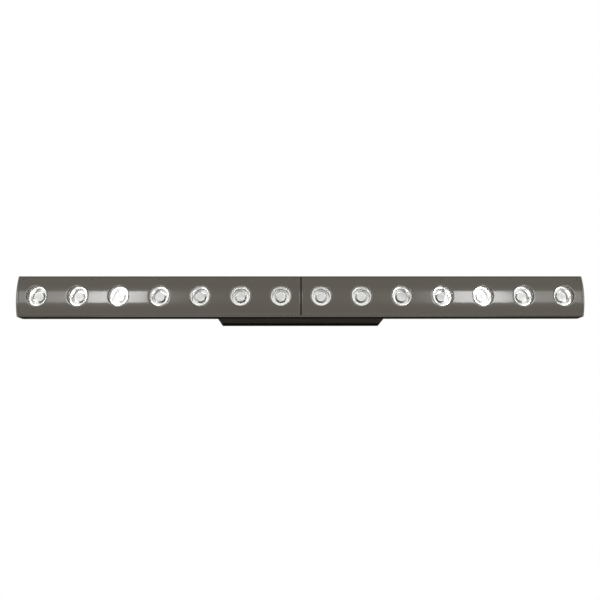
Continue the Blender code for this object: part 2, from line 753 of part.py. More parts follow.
def lens_profile():
    """From the middle of the flat face, round the collimator, to the crown of its cavity."""
    waist_radius, waist_depth = LENS_WAIST_SHARES
    waist = LENS_FOOT_RADIUS + (LENS_NECK_RADIUS - LENS_FOOT_RADIUS) * waist_radius
    body = LENS_HEIGHT - LENS_FLANGE
    return [
        (0, 0),
        (LENS_RADIUS, 0),
        (LENS_RADIUS, -LENS_FLANGE),
        (LENS_NECK_RADIUS, -LENS_FLANGE),
        (waist, -LENS_FLANGE - body * waist_depth),
        (LENS_FOOT_RADIUS, -LENS_HEIGHT),
        (LENS_CAVITY_RADIUS, -LENS_HEIGHT),
        (LENS_CAVITY_RADIUS, -LENS_HEIGHT + LENS_CAVITY_DEPTH),
        (0, -LENS_HEIGHT + LENS_CAVITY_DEPTH + LENS_CAVITY_CROWN),
    ]


def lenses():
    """The fourteen collimator lenses, each its own piece on one shared mesh."""
    mesh = turned_mesh("lens", lens_profile(), LENS_SEGMENTS)
    clear = finish("lens acrylic", (0.75, 0.74, 0.72), 0.08, 0.0)
    mesh.materials.append(clear)
    mesh.shade_smooth()
    mesh.set_sharp_from_angle(angle=math.radians(30))
    for index, x in enumerate(lamp_places(), start=1):
        lens = bpy.data.objects.new("lens_%02d" % index, mesh)
        lens.location = point(x, LENS_RECESS, 0)
        lens.rotation_euler = (math.pi / 2, 0, 0)
        parts.objects.link(lens)


def lens_tray(name, side):
    """The strip under the lens flanges, which slides into the grooves of the housing."""
    low, high = panel_ends(side)
    half_height = RIB_INNER_HEIGHT + TRAY_KEY
    plastic = finish(name + " plastic", (0.02, 0.02, 0.02), 0.5, 0.0)
    corners = ((low, mid_height - half_height), (high, mid_height - half_height))
    corners += ((high, mid_height + half_height), (low, mid_height + half_height))
    radius = LENS_NECK_RADIUS + TRAY_HOLE_CLEARANCE
    holes = [round_loop(x, mid_height, radius, TUBE_SEGMENTS) for x in lamp_places() if x * side > 0]
    mesh = outline_mesh(name, [corners] + holes, "Y", place(tray_front), place(tray_rear))
    add_part(name, mesh, plastic)


def board_ends(side):
    """The two X ends of one emitter board, low first."""
    return sorted((side * BOARD_MIDDLE_GAP / 2, side * (half_length - CAP_THICKNESS - BOARD_MIDDLE_GAP / 2)))


def emitter_board(name, side):
    """One metal-cored board, with an emitter behind each lens and the screws that clamp it."""
    low, high = board_ends(side)
    half = BOARD_HEIGHT / 2
    low_corner = point(low, board_front, -half)
    mesh = box_mesh(name, low_corner, point(high, board_rear, half))
    board = add_part(name, mesh, finish(name + " coating", (0.7, 0.7, 0.68), 0.4, 0.0))
    middle = board_front + BOARD_THICKNESS / 2
    lamps = [x for x in lamp_places() if x * side > 0]
    ends = [(point(x, middle, 0), point(x, board_front - EMITTER_HEIGHT, 0)) for x in lamps]
    packages = rods_mesh(name + "_emitters", EMITTER_RADIUS, ends, SCREW_SEGMENTS, EMITTER_TOP_RADIUS)
    shape_with(board, add_cutter(name + "_emitters", packages), "UNION")
    heads = []
    shanks = []
    for x in board_screw_places():
        if x * side > 0:
            for height in (BOARD_SCREW_HEIGHT, -BOARD_SCREW_HEIGHT):
                inside = point(x, middle, height)
                heads.append((inside, point(x, board_front - BOARD_SCREW_HEAD_HEIGHT, height)))
                shanks.append((inside, point(x, base_rear, height)))
    head_mesh = rods_mesh(name + "_heads", BOARD_SCREW_HEAD_RADIUS, heads, SCREW_SEGMENTS)
    shape_with(board, add_cutter(name + "_heads", head_mesh), "UNION")
    shank_mesh = rods_mesh(name + "_shanks", BOARD_SCREW_SHANK_RADIUS, shanks, SMALL_SEGMENTS)
    shape_with(board, add_cutter(name + "_shanks", shank_mesh), "UNION")


def thermal_pad(name, side):
    """The soft pad that carries a board's heat to the housing."""
    low, high = board_ends(side)
    half = PAD_HEIGHT / 2
    mesh = box_mesh(name, point(low, pad_front, -half), point(high, pad_front + PAD_THICKNESS, half))
    add_part(name, mesh, finish(name + " silicone", (0.35, 0.37, 0.4), 0.8, 0.0))


def box_loop(inset=0.0):
    """The outline of the driver box seen from behind, drawn in by an inset."""
    return rounded_rectangle(0, mid_height, BOX_WIDTH - 2 * inset, BAR_HEIGHT - 2 * inset, BOX_EDGE_RADIUS)


def cavity_loop():
    """The hollow of the driver box, which leaves a pillar in each corner."""
    wide = half_box - BOX_WALL
    high = mid_height - BOX_WALL
    notch_x = half_box - PILLAR_WIDTH
    notch_z = mid_height - PILLAR_WIDTH
    quarter = [(wide, notch_z - PILLAR_DRAFT), (notch_x, notch_z), (notch_x - PILLAR_DRAFT, high)]
    loop = list(quarter)
    loop += [(-x, z) for x, z in reversed(quarter)]
    loop += [(-x, -z) for x, z in quarter]
    loop += [(x, -z) for x, z in reversed(quarter)]
    return [(x, mid_height + z) for x, z in loop]


def pillar_places():
    """X and height of the four screws that hold the rear cover."""
    x = half_box - PILLAR_WIDTH / 2
    z = mid_height - PILLAR_WIDTH / 2
    return [(sx * x, sz * z) for sx in (1, -1) for sz in (1, -1)]


def box_screw_spots():
    """X and height of the four screws that hold the driver box to the bar."""
    return [(sx * box_screw_x, sz * MOUNT_RIB_HEIGHT) for sx in (1, -1) for sz in (1, -1)]


def driver_housing():
    """The open-backed box that holds the supply and carries the tilt axis."""
    name = "driver_housing"
    paint = finish(name + " paint", (0.045, 0.04, 0.032), 0.5, 0.0)
    box = add_part(name, outline_mesh(name, [box_loop()], "Y", place(box_front), place(box_rear)), paint)
    hollow = outline_mesh(
        name + "_hollow", [cavity_loop()], "Y", place(box_floor), place(box_rear + CUT_OVERRUN)
    )
    shape_with(box, add_cutter(name + "_hollow", hollow), "DIFFERENCE")
    bosses = []
    bores = []
    for side in (1, -1):
        outside = point(side * (half_box + CUT_OVERRUN), pivot_depth, 0)
        in_wall = point(side * (half_box - BOX_WALL / 2), pivot_depth, 0)
        boss_end = point(side * (half_box - BOX_WALL - BOSS_LENGTH), pivot_depth, 0)
        past_boss = point(side * (half_box - BOX_WALL - BOSS_LENGTH - CUT_OVERRUN), pivot_depth, 0)
        bosses.append((in_wall, boss_end))
        bores.append((outside, past_boss))
    boss_mesh = rods_mesh(name + "_bosses", BOSS_RADIUS, bosses, TUBE_SEGMENTS)
    shape_with(box, add_cutter(name + "_bosses", boss_mesh), "UNION")
    bm = bmesh.new()
    for start, end in bores:
        add_rod(bm, STUD_RADIUS + GAP, start, end, TUBE_SEGMENTS)
    through = point(0, box_floor + CUT_OVERRUN, 0)
    add_rod(bm, GROMMET_RADIUS + GAP, point(0, box_front - CUT_OVERRUN, 0), through, TUBE_SEGMENTS)
    for x, height in box_screw_spots():
        start = point(x, box_front - CUT_OVERRUN, height)
        end = point(x, box_floor + CUT_OVERRUN, height)
        add_rod(bm, BOX_SCREW_SHANK_RADIUS + GAP, start, end, SCREW_SEGMENTS)
    for x, height in pillar_places():
        start = point(x, box_rear - PILLAR_HOLE_DEPTH, height)
        end = point(x, box_rear + CUT_OVERRUN, height)
        add_rod(bm, BOX_SCREW_SHANK_RADIUS + GAP, start, end, SCREW_SEGMENTS)
    shape_with(box, add_cutter(name + "_holes", mesh_from(bm, name + "_holes")), "DIFFERENCE")


def driver_housing_screws():
    """Four screws inside the driver box, into the mounting ribs of the bar."""
    length = BOX_FRONT_WALL + GAP + GAP + BOX_SCREW_BITE - GAP
    screw = pan_screw(
        "box screw",
        BOX_SCREW_HEAD_RADIUS,
        BOX_SCREW_HEAD_HEIGHT,
        BOX_SCREW_SHANK_RADIUS,
        length,
        SCREW_SEGMENTS,
    )
    steel = finish("box screw steel", (0.5, 0.5, 0.5), 0.3, 1.0)
    for number, (x, height) in enumerate(box_screw_spots(), start=1):
        name = "driver_housing_screw_%d" % number
        spots = [(point(x, box_floor + GAP, height), (0, 1, 0))]
        add_part(name, copies_mesh(name, screw, spots), steel)


def cover_seal():
    """The flat gasket between the driver box and its rear cover."""
    outer = box_loop(SEAL_INSET)
    inner = box_loop(SEAL_INSET + SEAL_WIDTH)
    rear = place(seal_front + SEAL_THICKNESS)
    mesh = outline_mesh("cover_seal", [outer, inner], "Y", place(seal_front), rear)
    add_part("cover_seal", mesh, finish("seal rubber", (0.012, 0.012, 0.012), 0.8, 0.0))


def post_places():
    """X and height of the posts that carry the menu board."""
    x = CONTROL_BOARD_WIDTH / 2 - BOARD_POST_INSET
    z = CONTROL_BOARD_HEIGHT / 2 - BOARD_POST_INSET
    return [(sx * x, sz * z) for sx in (1, -1) for sz in (1, -1)]


def button_places():
    """X of the menu buttons."""
    return [(index - (BUTTON_COUNT - 1) / 2) * BUTTON_PITCH for index in range(BUTTON_COUNT)]


def socket_places():
    """X of the four round sockets."""
    return {
        "power_inlet": -outer_socket_x,
        "power_outlet": -inner_socket_x,
        "dmx_input": inner_socket_x,
        "dmx_output": outer_socket_x,
    }


def eye_leg_places():
    """X of the two legs of the safety eye."""
    return [eye_x - EYE_SPREAD / 2, eye_x + EYE_SPREAD / 2]


def rear_cover():
    """The deep rear cover, with its openings for the sockets, menu, fuse and eye."""
    name = "rear_cover"
    paint = finish(name + " paint", (0.006, 0.006, 0.006), 0.5, 0.0)
    block = outline_mesh(name, [box_loop()], "Y", place(cover_front), place(cover_rear))
    cover = add_part(name, block, paint)
    hollow = outline_mesh(
        name + "_hollow", [cavity_loop()], "Y", place(cover_front - CUT_OVERRUN), place(cover_plate)
    )
    shape_with(cover, add_cutter(name + "_hollow", hollow), "DIFFERENCE")
    posts = []
    for x, height in post_places():
        foot = point(x, cover_plate + COVER_PLATE / 2, height)
        tip = point(x, cover_plate - CONTROL_BOARD_SETBACK + GAP, height)
        posts.append((foot, tip))
    posts_mesh = rods_mesh(name + "_posts", BOARD_POST_RADIUS, posts, SMALL_SEGMENTS)
    shape_with(cover, add_cutter(name + "_posts", posts_mesh), "UNION")
    bm = bmesh.new()

    def bore(x, height, radius, segments):
        start = point(x, cover_plate - CUT_OVERRUN, height)
        add_rod(bm, radius, start, point(x, cover_rear + CUT_OVERRUN, height), segments)

    for x in socket_places().values():
        bore(x, 0, SOCKET_RADIUS + GAP, SOCKET_SEGMENTS)
        for turn in (1, -1):
            hole = SMALL_SHANK_RADIUS + GAP
            bore(x + turn * FLANGE_SCREW_X, turn * FLANGE_SCREW_Z, hole, SMALL_SEGMENTS)
    for x in button_places():
        bore(x, -BUTTON_DROP, BUTTON_RADIUS + GAP, TUBE_SEGMENTS)
    bore(-fuse_x, 0, FUSE_RADIUS + GAP, TUBE_SEGMENTS)
    for x in eye_leg_places():
        bore(x, 0, EYE_WIRE_RADIUS + GAP, TUBE_SEGMENTS)
    half_width = DISPLAY_WIDTH / 2
    half_height = DISPLAY_HEIGHT / 2
    low = point(-half_width, cover_plate - CUT_OVERRUN, DISPLAY_RISE - half_height)
    add_box(bm, low, point(half_width, cover_rear + CUT_OVERRUN, DISPLAY_RISE + half_height))
    shape_with(cover, add_cutter(name + "_holes", mesh_from(bm, name + "_holes")), "DIFFERENCE")
    latch_x = socket_places()["dmx_output"]
    latch_half_width = LATCH_WIDTH / 2 + GAP
    latch_half_height = LATCH_HEIGHT / 2 + GAP
    low = point(latch_x - latch_half_width, cover_plate - CUT_OVERRUN, LATCH_CENTRE_Z - latch_half_height)
    high = point(latch_x + latch_half_width, cover_rear + CUT_OVERRUN, LATCH_CENTRE_Z + latch_half_height)
    slot = box_mesh(name + "_latch_slot", low, high)
    shape_with(cover, add_cutter(name + "_latch_slot", slot), "DIFFERENCE")
    wide = half_width + WINDOW_BORDER + GAP
    high = half_height + WINDOW_BORDER + GAP
    seat = cover_rear - WINDOW_THICKNESS - GAP
    low = point(-wide, seat, DISPLAY_RISE - high)
    recess = box_mesh(name + "_window_seat", low, point(wide, cover_rear + CUT_OVERRUN, DISPLAY_RISE + high))
    shape_with(cover, add_cutter(name + "_window_seat", recess), "DIFFERENCE")
    shanks = bmesh.new()
    sinks = bmesh.new()
    narrow = BOX_SCREW_SHANK_RADIUS + GAP
    wide = BOX_SCREW_HEAD_RADIUS + GAP
    slope = (wide - narrow) / COVER_SCREW_HEAD_HEIGHT
    for x, height in pillar_places():
        start = point(x, cover_front - CUT_OVERRUN, height)
        add_rod(shanks, narrow, start, point(x, cover_rear + CUT_OVERRUN, height), SCREW_SEGMENTS)
        above = point(x, cover_rear - GAP + CUT_OVERRUN, height)
        below = point(x, cover_rear - GAP - COVER_SCREW_HEAD_HEIGHT, height)
        add_rod(sinks, wide + slope * CUT_OVERRUN, above, below, SCREW_SEGMENTS, narrow)
    shape_with(cover, add_cutter(name + "_shanks", mesh_from(shanks, name + "_shanks")), "DIFFERENCE")
    shape_with(cover, add_cutter(name + "_sinks", mesh_from(sinks, name + "_sinks")), "DIFFERENCE")


def rear_cover_screws():
    """Four long countersunk screws through the cover into the driver box."""
    screw = countersunk_screw(
        "cover screw",
        BOX_SCREW_HEAD_RADIUS,
        COVER_SCREW_HEAD_HEIGHT,
        BOX_SCREW_SHANK_RADIUS,
        COVER_SCREW_LENGTH,
        SCREW_SEGMENTS,
    )
    steel = finish("cover screw steel", (0.05, 0.05, 0.05), 0.35, 1.0)
    for number, (x, height) in enumerate(pillar_places(), start=1):
        name = "rear_cover_screw_%d" % number
        spots = [(point(x, cover_rear - GAP, height), (0, 1, 0))]
        add_part(name, copies_mesh(name, screw, spots), steel)


def power_supply():
    """The closed metal can of the supply, on the front wall of the driver box."""
    name = "power_supply"
    half = SUPPLY_HEIGHT / 2
    low = point(-SUPPLY_INNER_X - supply_length, box_floor + GAP, -half)
    high = point(-SUPPLY_INNER_X, box_floor + GAP + SUPPLY_DEPTH, half)
    steel = finish(name + " steel", (0.55, 0.56, 0.57), 0.4, 1.0)
    can = add_part(name, box_mesh(name, low, high), steel)
    soften(can, SUPPLY_EDGE, 1)


def control_board():
    """The menu's circuit board, with its four small switches."""
    name = "control_board"
    half_width = CONTROL_BOARD_WIDTH / 2
    half_height = CONTROL_BOARD_HEIGHT / 2
    low = point(-half_width, control_front, -half_height)
    high = point(half_width, control_front + BOARD_THICKNESS, half_height)
    board = add_part(name, box_mesh(name, low, high), finish("board green", (0.02, 0.12, 0.05), 0.5, 0.0))
    bm = bmesh.new()
    half = SWITCH_WIDTH / 2
    for x in button_places():
        low = point(x - half, control_front + BOARD_THICKNESS / 2, -BUTTON_DROP - half)
        high = point(x + half, control_front + BOARD_THICKNESS + SWITCH_HEIGHT, -BUTTON_DROP + half)
        add_box(bm, low, high)
    shape_with(board, add_cutter(name + "_switches", mesh_from(bm, name + "_switches")), "UNION")


def display_module():
    """The small display that stands on the menu board."""
    name = "display_module"
    half_width = DISPLAY_WIDTH / 2 - GAP
    half_height = DISPLAY_HEIGHT / 2 - GAP
    low = point(-half_width, control_front + BOARD_THICKNESS + GAP, DISPLAY_RISE - half_height)
    top = cover_rear - WINDOW_THICKNESS - GAP - GAP
    high = point(half_width, top, DISPLAY_RISE + half_height)
    add_part(name, box_mesh(name, low, high), finish("display glass", (0.01, 0.02, 0.06), 0.15, 0.0))


def display_window():
    """The clear window let into the rear cover over the display."""
    name = "display_window"
    half_width = DISPLAY_WIDTH / 2 + WINDOW_BORDER
    half_height = DISPLAY_HEIGHT / 2 + WINDOW_BORDER
    low = point(-half_width, cover_rear - WINDOW_THICKNESS, DISPLAY_RISE - half_height)
    high = point(half_width, cover_rear, DISPLAY_RISE + half_height)
    add_part(name, box_mesh(name, low, high), finish("window acrylic", (0.03, 0.03, 0.035), 0.08, 0.0))


def menu_buttons():
    """Four turned push buttons, held behind the cover by their flanges."""
    flange_top = cover_plate - GAP
    crown = cover_rear + BUTTON_PROUD
    stem_end = control_front + BOARD_THICKNESS + SWITCH_HEIGHT + BUTTON_TRAVEL + GAP
    origin_depth = flange_top
    profile = [
        (0, crown - origin_depth),
        (BUTTON_RADIUS - BUTTON_EDGE, crown - origin_depth),
        (BUTTON_RADIUS, crown - BUTTON_EDGE - origin_depth),
        (BUTTON_RADIUS, 0),
        (BUTTON_FLANGE_RADIUS, 0),
        (BUTTON_FLANGE_RADIUS, -BUTTON_FLANGE),
        (BUTTON_STEM_RADIUS, -BUTTON_FLANGE),
        (BUTTON_STEM_RADIUS, stem_end - origin_depth),
        (0, stem_end - origin_depth),
    ]
    mesh = turned_mesh("button", profile, TUBE_SEGMENTS)
    rubber = finish("button rubber", (0.12, 0.12, 0.12), 0.6, 0.0)
    for name, x in zip(("button_menu", "button_down", "button_up", "button_enter"), button_places()):
        spot = point(x, origin_depth, -BUTTON_DROP)
        add_part(name, copies_mesh(name, mesh, [(spot, (0, 1, 0))]), rubber, spot)


def socket_body(name, x, colour):
    """The flange and barrel of a round panel socket, and the two screws of the flange."""
    loop = rounded_rectangle(x, mid_height, FLANGE_WIDTH, FLANGE_HEIGHT, FLANGE_CORNER)
    face = socket_face + FLANGE_THICKNESS
    plastic = finish(name + " plastic", colour, 0.35, 0.0)
    body = add_part(name, outline_mesh(name, [loop], "Y", place(socket_face), place(face)), plastic)
    barrel = (point(x, face - SOCKET_LENGTH, 0), point(x, socket_face + FLANGE_THICKNESS / 2, 0))
    barrel_mesh = rods_mesh(name + "_barrel", SOCKET_RADIUS, [barrel], SOCKET_SEGMENTS)
    shape_with(body, add_cutter(name + "_barrel", barrel_mesh), "UNION")
    middle = socket_face + FLANGE_THICKNESS / 2
    heads = []
    shanks = []
    for turn in (1, -1):
        screw_x = x + turn * FLANGE_SCREW_X
        height = turn * FLANGE_SCREW_Z
        inside = point(screw_x, middle, height)
        heads.append((inside, point(screw_x, face + FLANGE_SCREW_HEAD_HEIGHT, height)))
        shanks.append((inside, point(screw_x, face - FLANGE_SCREW_LENGTH, height)))
    head_mesh = rods_mesh(name + "_heads", FLANGE_SCREW_HEAD_RADIUS, heads, SCREW_SEGMENTS)
    shape_with(body, add_cutter(name + "_heads", head_mesh), "UNION")
    shank_mesh = rods_mesh(name + "_shanks", SMALL_SHANK_RADIUS, shanks, SMALL_SEGMENTS)
    shape_with(body, add_cutter(name + "_shanks", shank_mesh), "UNION")
    return body


def pin_places(x):
    """X and height of the pins round a socket's middle."""
    angles = [math.pi / 2 + 2 * math.pi * index / PIN_COUNT for index in range(PIN_COUNT)]
    return [(x + PIN_CIRCLE_RADIUS * math.cos(a), PIN_CIRCLE_RADIUS * math.sin(a)) for a in angles]


def pin_socket(name, x, colour):
    """A socket with an open bore and pins that stand up from its floor."""
    body = socket_body(name, x, colour)
    face = socket_face + FLANGE_THICKNESS
    floor = face - SOCKET_BORE_DEPTH
    bore = [(point(x, floor, 0), point(x, face + CUT_OVERRUN, 0))]
    bore_mesh = rods_mesh(name + "_bore", SOCKET_BORE_RADIUS, bore, SOCKET_SEGMENTS)
    shape_with(body, add_cutter(name + "_bore", bore_mesh), "DIFFERENCE")
    pins = [
        (point(pin_x, floor - CUT_OVERRUN, height), point(pin_x, floor + PIN_LENGTH, height))
        for pin_x, height in pin_places(x)
    ]
    pins_mesh = rods_mesh(name + "_pins", PIN_RADIUS, pins, SMALL_SEGMENTS)
    shape_with(body, add_cutter(name + "_pins", pins_mesh), "UNION")


def output_socket(name, x):
    """The signal output: an insert with three holes in a ring groove, and a latch slot."""
    body = socket_body(name, x, (0.03, 0.03, 0.03))
    face = socket_face + FLANGE_THICKNESS
    floor = face - SOCKET_BORE_DEPTH
    groove = [
        (SOCKET_BORE_RADIUS, CUT_OVERRUN),
        (SOCKET_BORE_RADIUS, -SOCKET_BORE_DEPTH),
        (SOCKET_INSERT_RADIUS, -SOCKET_BORE_DEPTH),
        (SOCKET_INSERT_RADIUS, CUT_OVERRUN),
    ]
    ring = turned_mesh(name + "_groove", groove, SOCKET_SEGMENTS, closed=True)
    ring_mesh = copies_mesh(name + "_groove", ring, [(point(x, face, 0), (0, 1, 0))])
    shape_with(body, add_cutter(name + "_groove", ring_mesh), "DIFFERENCE")
    holes = [
        (point(pin_x, face - PIN_HOLE_DEPTH, height), point(pin_x, face + CUT_OVERRUN, height))
        for pin_x, height in pin_places(x)
    ]
    holes_mesh = rods_mesh(name + "_pin_holes", PIN_RADIUS + GAP, holes, SMALL_SEGMENTS)
    shape_with(body, add_cutter(name + "_pin_holes", holes_mesh), "DIFFERENCE")
    slot_width = LATCH_WIDTH / 2 + GAP
    slot_height = LATCH_HEIGHT / 2 + GAP
    slot_floor = face + LATCH_PROUD - LATCH_LENGTH - LATCH_TRAVEL - GAP
    low = point(x - slot_width, slot_floor, LATCH_CENTRE_Z - slot_height)
    high = point(x + slot_width, face + CUT_OVERRUN, LATCH_CENTRE_Z + slot_height)
    slot = box_mesh(name + "_latch_slot", low, high)
    shape_with(body, add_cutter(name + "_latch_slot", slot), "DIFFERENCE")


def output_latch(x):
    """The push tab that frees a plug from the signal output."""
    name = "output_latch"
    face = socket_face + FLANGE_THICKNESS
    half_width = LATCH_WIDTH / 2
    half_height = LATCH_HEIGHT / 2
    low = point(x - half_width, face + LATCH_PROUD - LATCH_LENGTH, LATCH_CENTRE_Z - half_height)
    high = point(x + half_width, face + LATCH_PROUD, LATCH_CENTRE_Z + half_height)
    origin = point(x, face, LATCH_CENTRE_Z)
    metal = finish("latch metal", (0.4, 0.4, 0.4), 0.35, 1.0)
    latch = add_part(name, box_mesh(name, low, high), metal, origin)
    soften(latch, BUTTON_EDGE)


def sockets():
    """The four round sockets in the rear cover."""
    places = socket_places()
    pin_socket("power_inlet", places["power_inlet"], (0.02, 0.05, 0.3))
    pin_socket("power_outlet", places["power_outlet"], (0.35, 0.35, 0.36))
    pin_socket("dmx_input", places["dmx_input"], (0.03, 0.03, 0.03))
    output_socket("dmx_output", places["dmx_output"])
    output_latch(places["dmx_output"])


def fuse():
    """The fuse carrier in the rear cover, and its slotted bayonet cap."""
    face = socket_face + FUSE_FLANGE
    cup = [
        (FUSE_FLANGE_RADIUS, 0),
        (FUSE_FLANGE_RADIUS, -FUSE_FLANGE),
        (FUSE_RADIUS, -FUSE_FLANGE),
        (FUSE_RADIUS, -FUSE_LENGTH),
        (0, -FUSE_LENGTH),
    ]
    bore_depth = FUSE_CAP_PLUG + GAP + GAP
    cup = [(0, -bore_depth), (FUSE_BORE_RADIUS, -bore_depth), (FUSE_BORE_RADIUS, 0)] + cup
    spot = point(-fuse_x, face, 0)
    plastic = finish("fuse plastic", (0.02, 0.02, 0.02), 0.4, 0.0)
    holder = turned_mesh("fuse_holder", cup, TUBE_SEGMENTS)
    add_part("fuse_holder", copies_mesh("fuse_holder", holder, [(spot, (0, 1, 0))]), plastic)
    cap = [
        (0, GAP + FUSE_CAP_HEIGHT),
        (FUSE_CAP_RADIUS - BUTTON_EDGE, GAP + FUSE_CAP_HEIGHT),
        (FUSE_CAP_RADIUS, GAP + FUSE_CAP_HEIGHT - BUTTON_EDGE),
        (FUSE_CAP_RADIUS, GAP),
        (FUSE_BORE_RADIUS - GAP, GAP),
        (FUSE_BORE_RADIUS - GAP, -FUSE_CAP_PLUG),
        (0, -FUSE_CAP_PLUG),
    ]
    cap_mesh = turned_mesh("fuse_cap", cap, TUBE_SEGMENTS)
    cover = finish("fuse cap plastic", (0.25, 0.03, 0.02), 0.4, 0.0)
    piece = add_part("fuse_cap", copies_mesh("fuse_cap", cap_mesh, [(spot, (0, 1, 0))]), cover, spot)
    half = FUSE_SLOT_WIDTH / 2
    top = face + GAP + FUSE_CAP_HEIGHT
    reach = FUSE_CAP_RADIUS + CUT_OVERRUN
    low = point(-fuse_x - reach, top - FUSE_SLOT_DEPTH, -half)
    high = point(-fuse_x + reach, top + CUT_OVERRUN, half)
    shape_with(piece, add_cutter("fuse_cap_slot", box_mesh("fuse_cap_slot", low, high)), "DIFFERENCE")


def safety_eye():
    """The bent steel eye for a safety wire, its legs through the rear cover."""
    half = EYE_SPREAD / 2
    inner = cover_plate - EYE_LEG + COVER_PLATE
    bend = eye_reach * EYE_BEND_SHARE
    shoulder = cover_rear + eye_reach - bend
    route = [point(eye_x - half, inner, 0), point(eye_x - half, shoulder, 0)]
    for step in range(1, BEND_STEPS):
        angle = math.pi * step / BEND_STEPS
        x = eye_x - half * math.cos(angle)
        route.append(point(x, shoulder + bend * math.sin(angle), 0))
    route += [point(eye_x + half, shoulder, 0), point(eye_x + half, inner, 0)]
    steel = finish("eye steel", (0.55, 0.55, 0.55), 0.25, 1.0)
    add_part("safety_eye", tube_mesh("safety_eye", route, EYE_WIRE_RADIUS), steel)


def cable_grommet():
    """The rubber sleeve that carries the leads from the box into the bar."""
    length = box_floor + GAP - base_front
    profile = [
        (GROMMET_LIP_RADIUS, GROMMET_LIP),
        (GROMMET_LIP_RADIUS, 0),
        (GROMMET_RADIUS, 0),
        (GROMMET_RADIUS, -length),
        (GROMMET_BORE_RADIUS, -length),
        (GROMMET_BORE_RADIUS, GROMMET_LIP),
    ]
    sleeve = turned_mesh("cable_grommet", profile, TUBE_SEGMENTS, closed=True)
    spot = point(0, box_floor + GAP, 0)
    mesh = copies_mesh("cable_grommet", sleeve, [(spot, (0, 1, 0))])
    add_part("cable_grommet", mesh, finish("grommet rubber", (0.012, 0.012, 0.012), 0.8, 0.0))


def led_lead(name, side):
    """A lead from the menu board, through the sleeve, to one emitter board."""
    near = LEAD_SPACING / 2
    turn = board_front - GAP - LEAD_RADIUS
    route = [point(side * near, control_front - GAP, 0), point(side * near, turn, 0)]
    middle = (near + LEAD_REACH) / 2
    swing = (LEAD_REACH - near) / 2
    for step in range(1, BEND_STEPS):
        angle = math.pi * step / BEND_STEPS
        x = middle - swing * math.cos(angle)
        route.append(point(side * x, turn - LEAD_RISE * math.sin(angle), 0))
    route += [point(side * LEAD_REACH, turn, 0), point(side * LEAD_REACH, board_front - GAP, 0)]
    sleeve = finish(name + " sleeve", (0.25, 0.02, 0.02), 0.5, 0.0)
    add_part(name, tube_mesh(name, route, LEAD_RADIUS), sleeve)


def friction_washer(name, side):
    """The friction washer between the box and one arm of the yoke."""
    profile = [
        (WASHER_RADIUS, WASHER_THICKNESS),
        (WASHER_RADIUS, 0),
        (STUD_RADIUS + GAP, 0),
        (STUD_RADIUS + GAP, WASHER_THICKNESS),
    ]
    ring = turned_mesh("washer", profile, SOCKET_SEGMENTS, closed=True)
    spots = [(point(side * (half_box + GAP), pivot_depth, 0), (side, 0, 0))]
    add_part(name, copies_mesh(name, ring, spots), finish(name + " fibre", (0.05, 0.05, 0.05), 0.7, 0.0))


def yoke_loop():
    """The U of the yoke seen from above, outer side first, with bent corners."""
    end = -YOKE_WIDTH / 2
    centre_x = yoke_outer_x - YOKE_BEND_RADIUS
    centre_y = YOKE_REACH - YOKE_BEND_RADIUS
    steps = CORNER_SEGMENTS + 1
    angles = [math.pi / 2 * step / steps for step in range(steps + 1)]

    def bend(radius):
        return [(centre_x + radius * math.cos(a), centre_y + radius * math.sin(a)) for a in angles]

    right_outer = [(yoke_outer_x, end)] + bend(YOKE_BEND_RADIUS)
    right_inner = [(yoke_inner_x, end)] + bend(YOKE_BEND_RADIUS - YOKE_THICKNESS)
    left_outer = [(-x, y) for x, y in reversed(right_outer)]
    left_inner = [(-x, y) for x, y in right_inner]
    return right_outer + left_outer + left_inner + right_inner[::-1]


def yoke():
    """The bent steel strip that carries the light and lets it tilt."""
    name = "yoke"
    half = YOKE_WIDTH / 2
    mesh = outline_mesh(name, [yoke_loop()], "Z", mid_height - half, mid_height + half)
    axis = (0, 0, mid_height)
    strip = add_part(name, mesh, finish("yoke paint", (0.02, 0.02, 0.02), 0.5, 0.0), axis)
    far = YOKE_REACH + CUT_OVERRUN
    steps = TUBE_SEGMENTS // 2
    rounded = [(far, mid_height + half)]
    for step in range(steps + 1):
        angle = math.pi / 2 + math.pi * step / steps
        rounded.append((half * math.cos(angle), mid_height + half * math.sin(angle)))
    rounded.append((far, mid_height - half))
    reach = yoke_outer_x + CUT_OVERRUN
    outline = outline_mesh(name + "_side", [rounded], "X", -reach, reach)
    shape_with(strip, add_cutter(name + "_side", outline), "INTERSECT")
    bm = bmesh.new()
    for side in (1, -1):
        start = point(side * (yoke_inner_x - CUT_OVERRUN), pivot_depth, 0)
        end = point(side * (yoke_outer_x + CUT_OVERRUN), pivot_depth, 0)
        add_rod(bm, STUD_RADIUS + GAP, start, end, TUBE_SEGMENTS)
    back = Vector((0, YOKE_REACH + CUT_OVERRUN, mid_height))
    front = Vector((0, YOKE_REACH - YOKE_THICKNESS - CUT_OVERRUN, mid_height))
    add_rod(bm, YOKE_CLAMP_HOLE_RADIUS, front, back, SOCKET_SEGMENTS)
    for side in (1, -1):
        shift = Vector((side * YOKE_SIDE_HOLE_X, 0, 0))
        add_rod(bm, YOKE_SIDE_HOLE_RADIUS, front + shift, back + shift, TUBE_SEGMENTS)
    shape_with(strip, add_cutter(name + "_holes", mesh_from(bm, name + "_holes")), "DIFFERENCE")


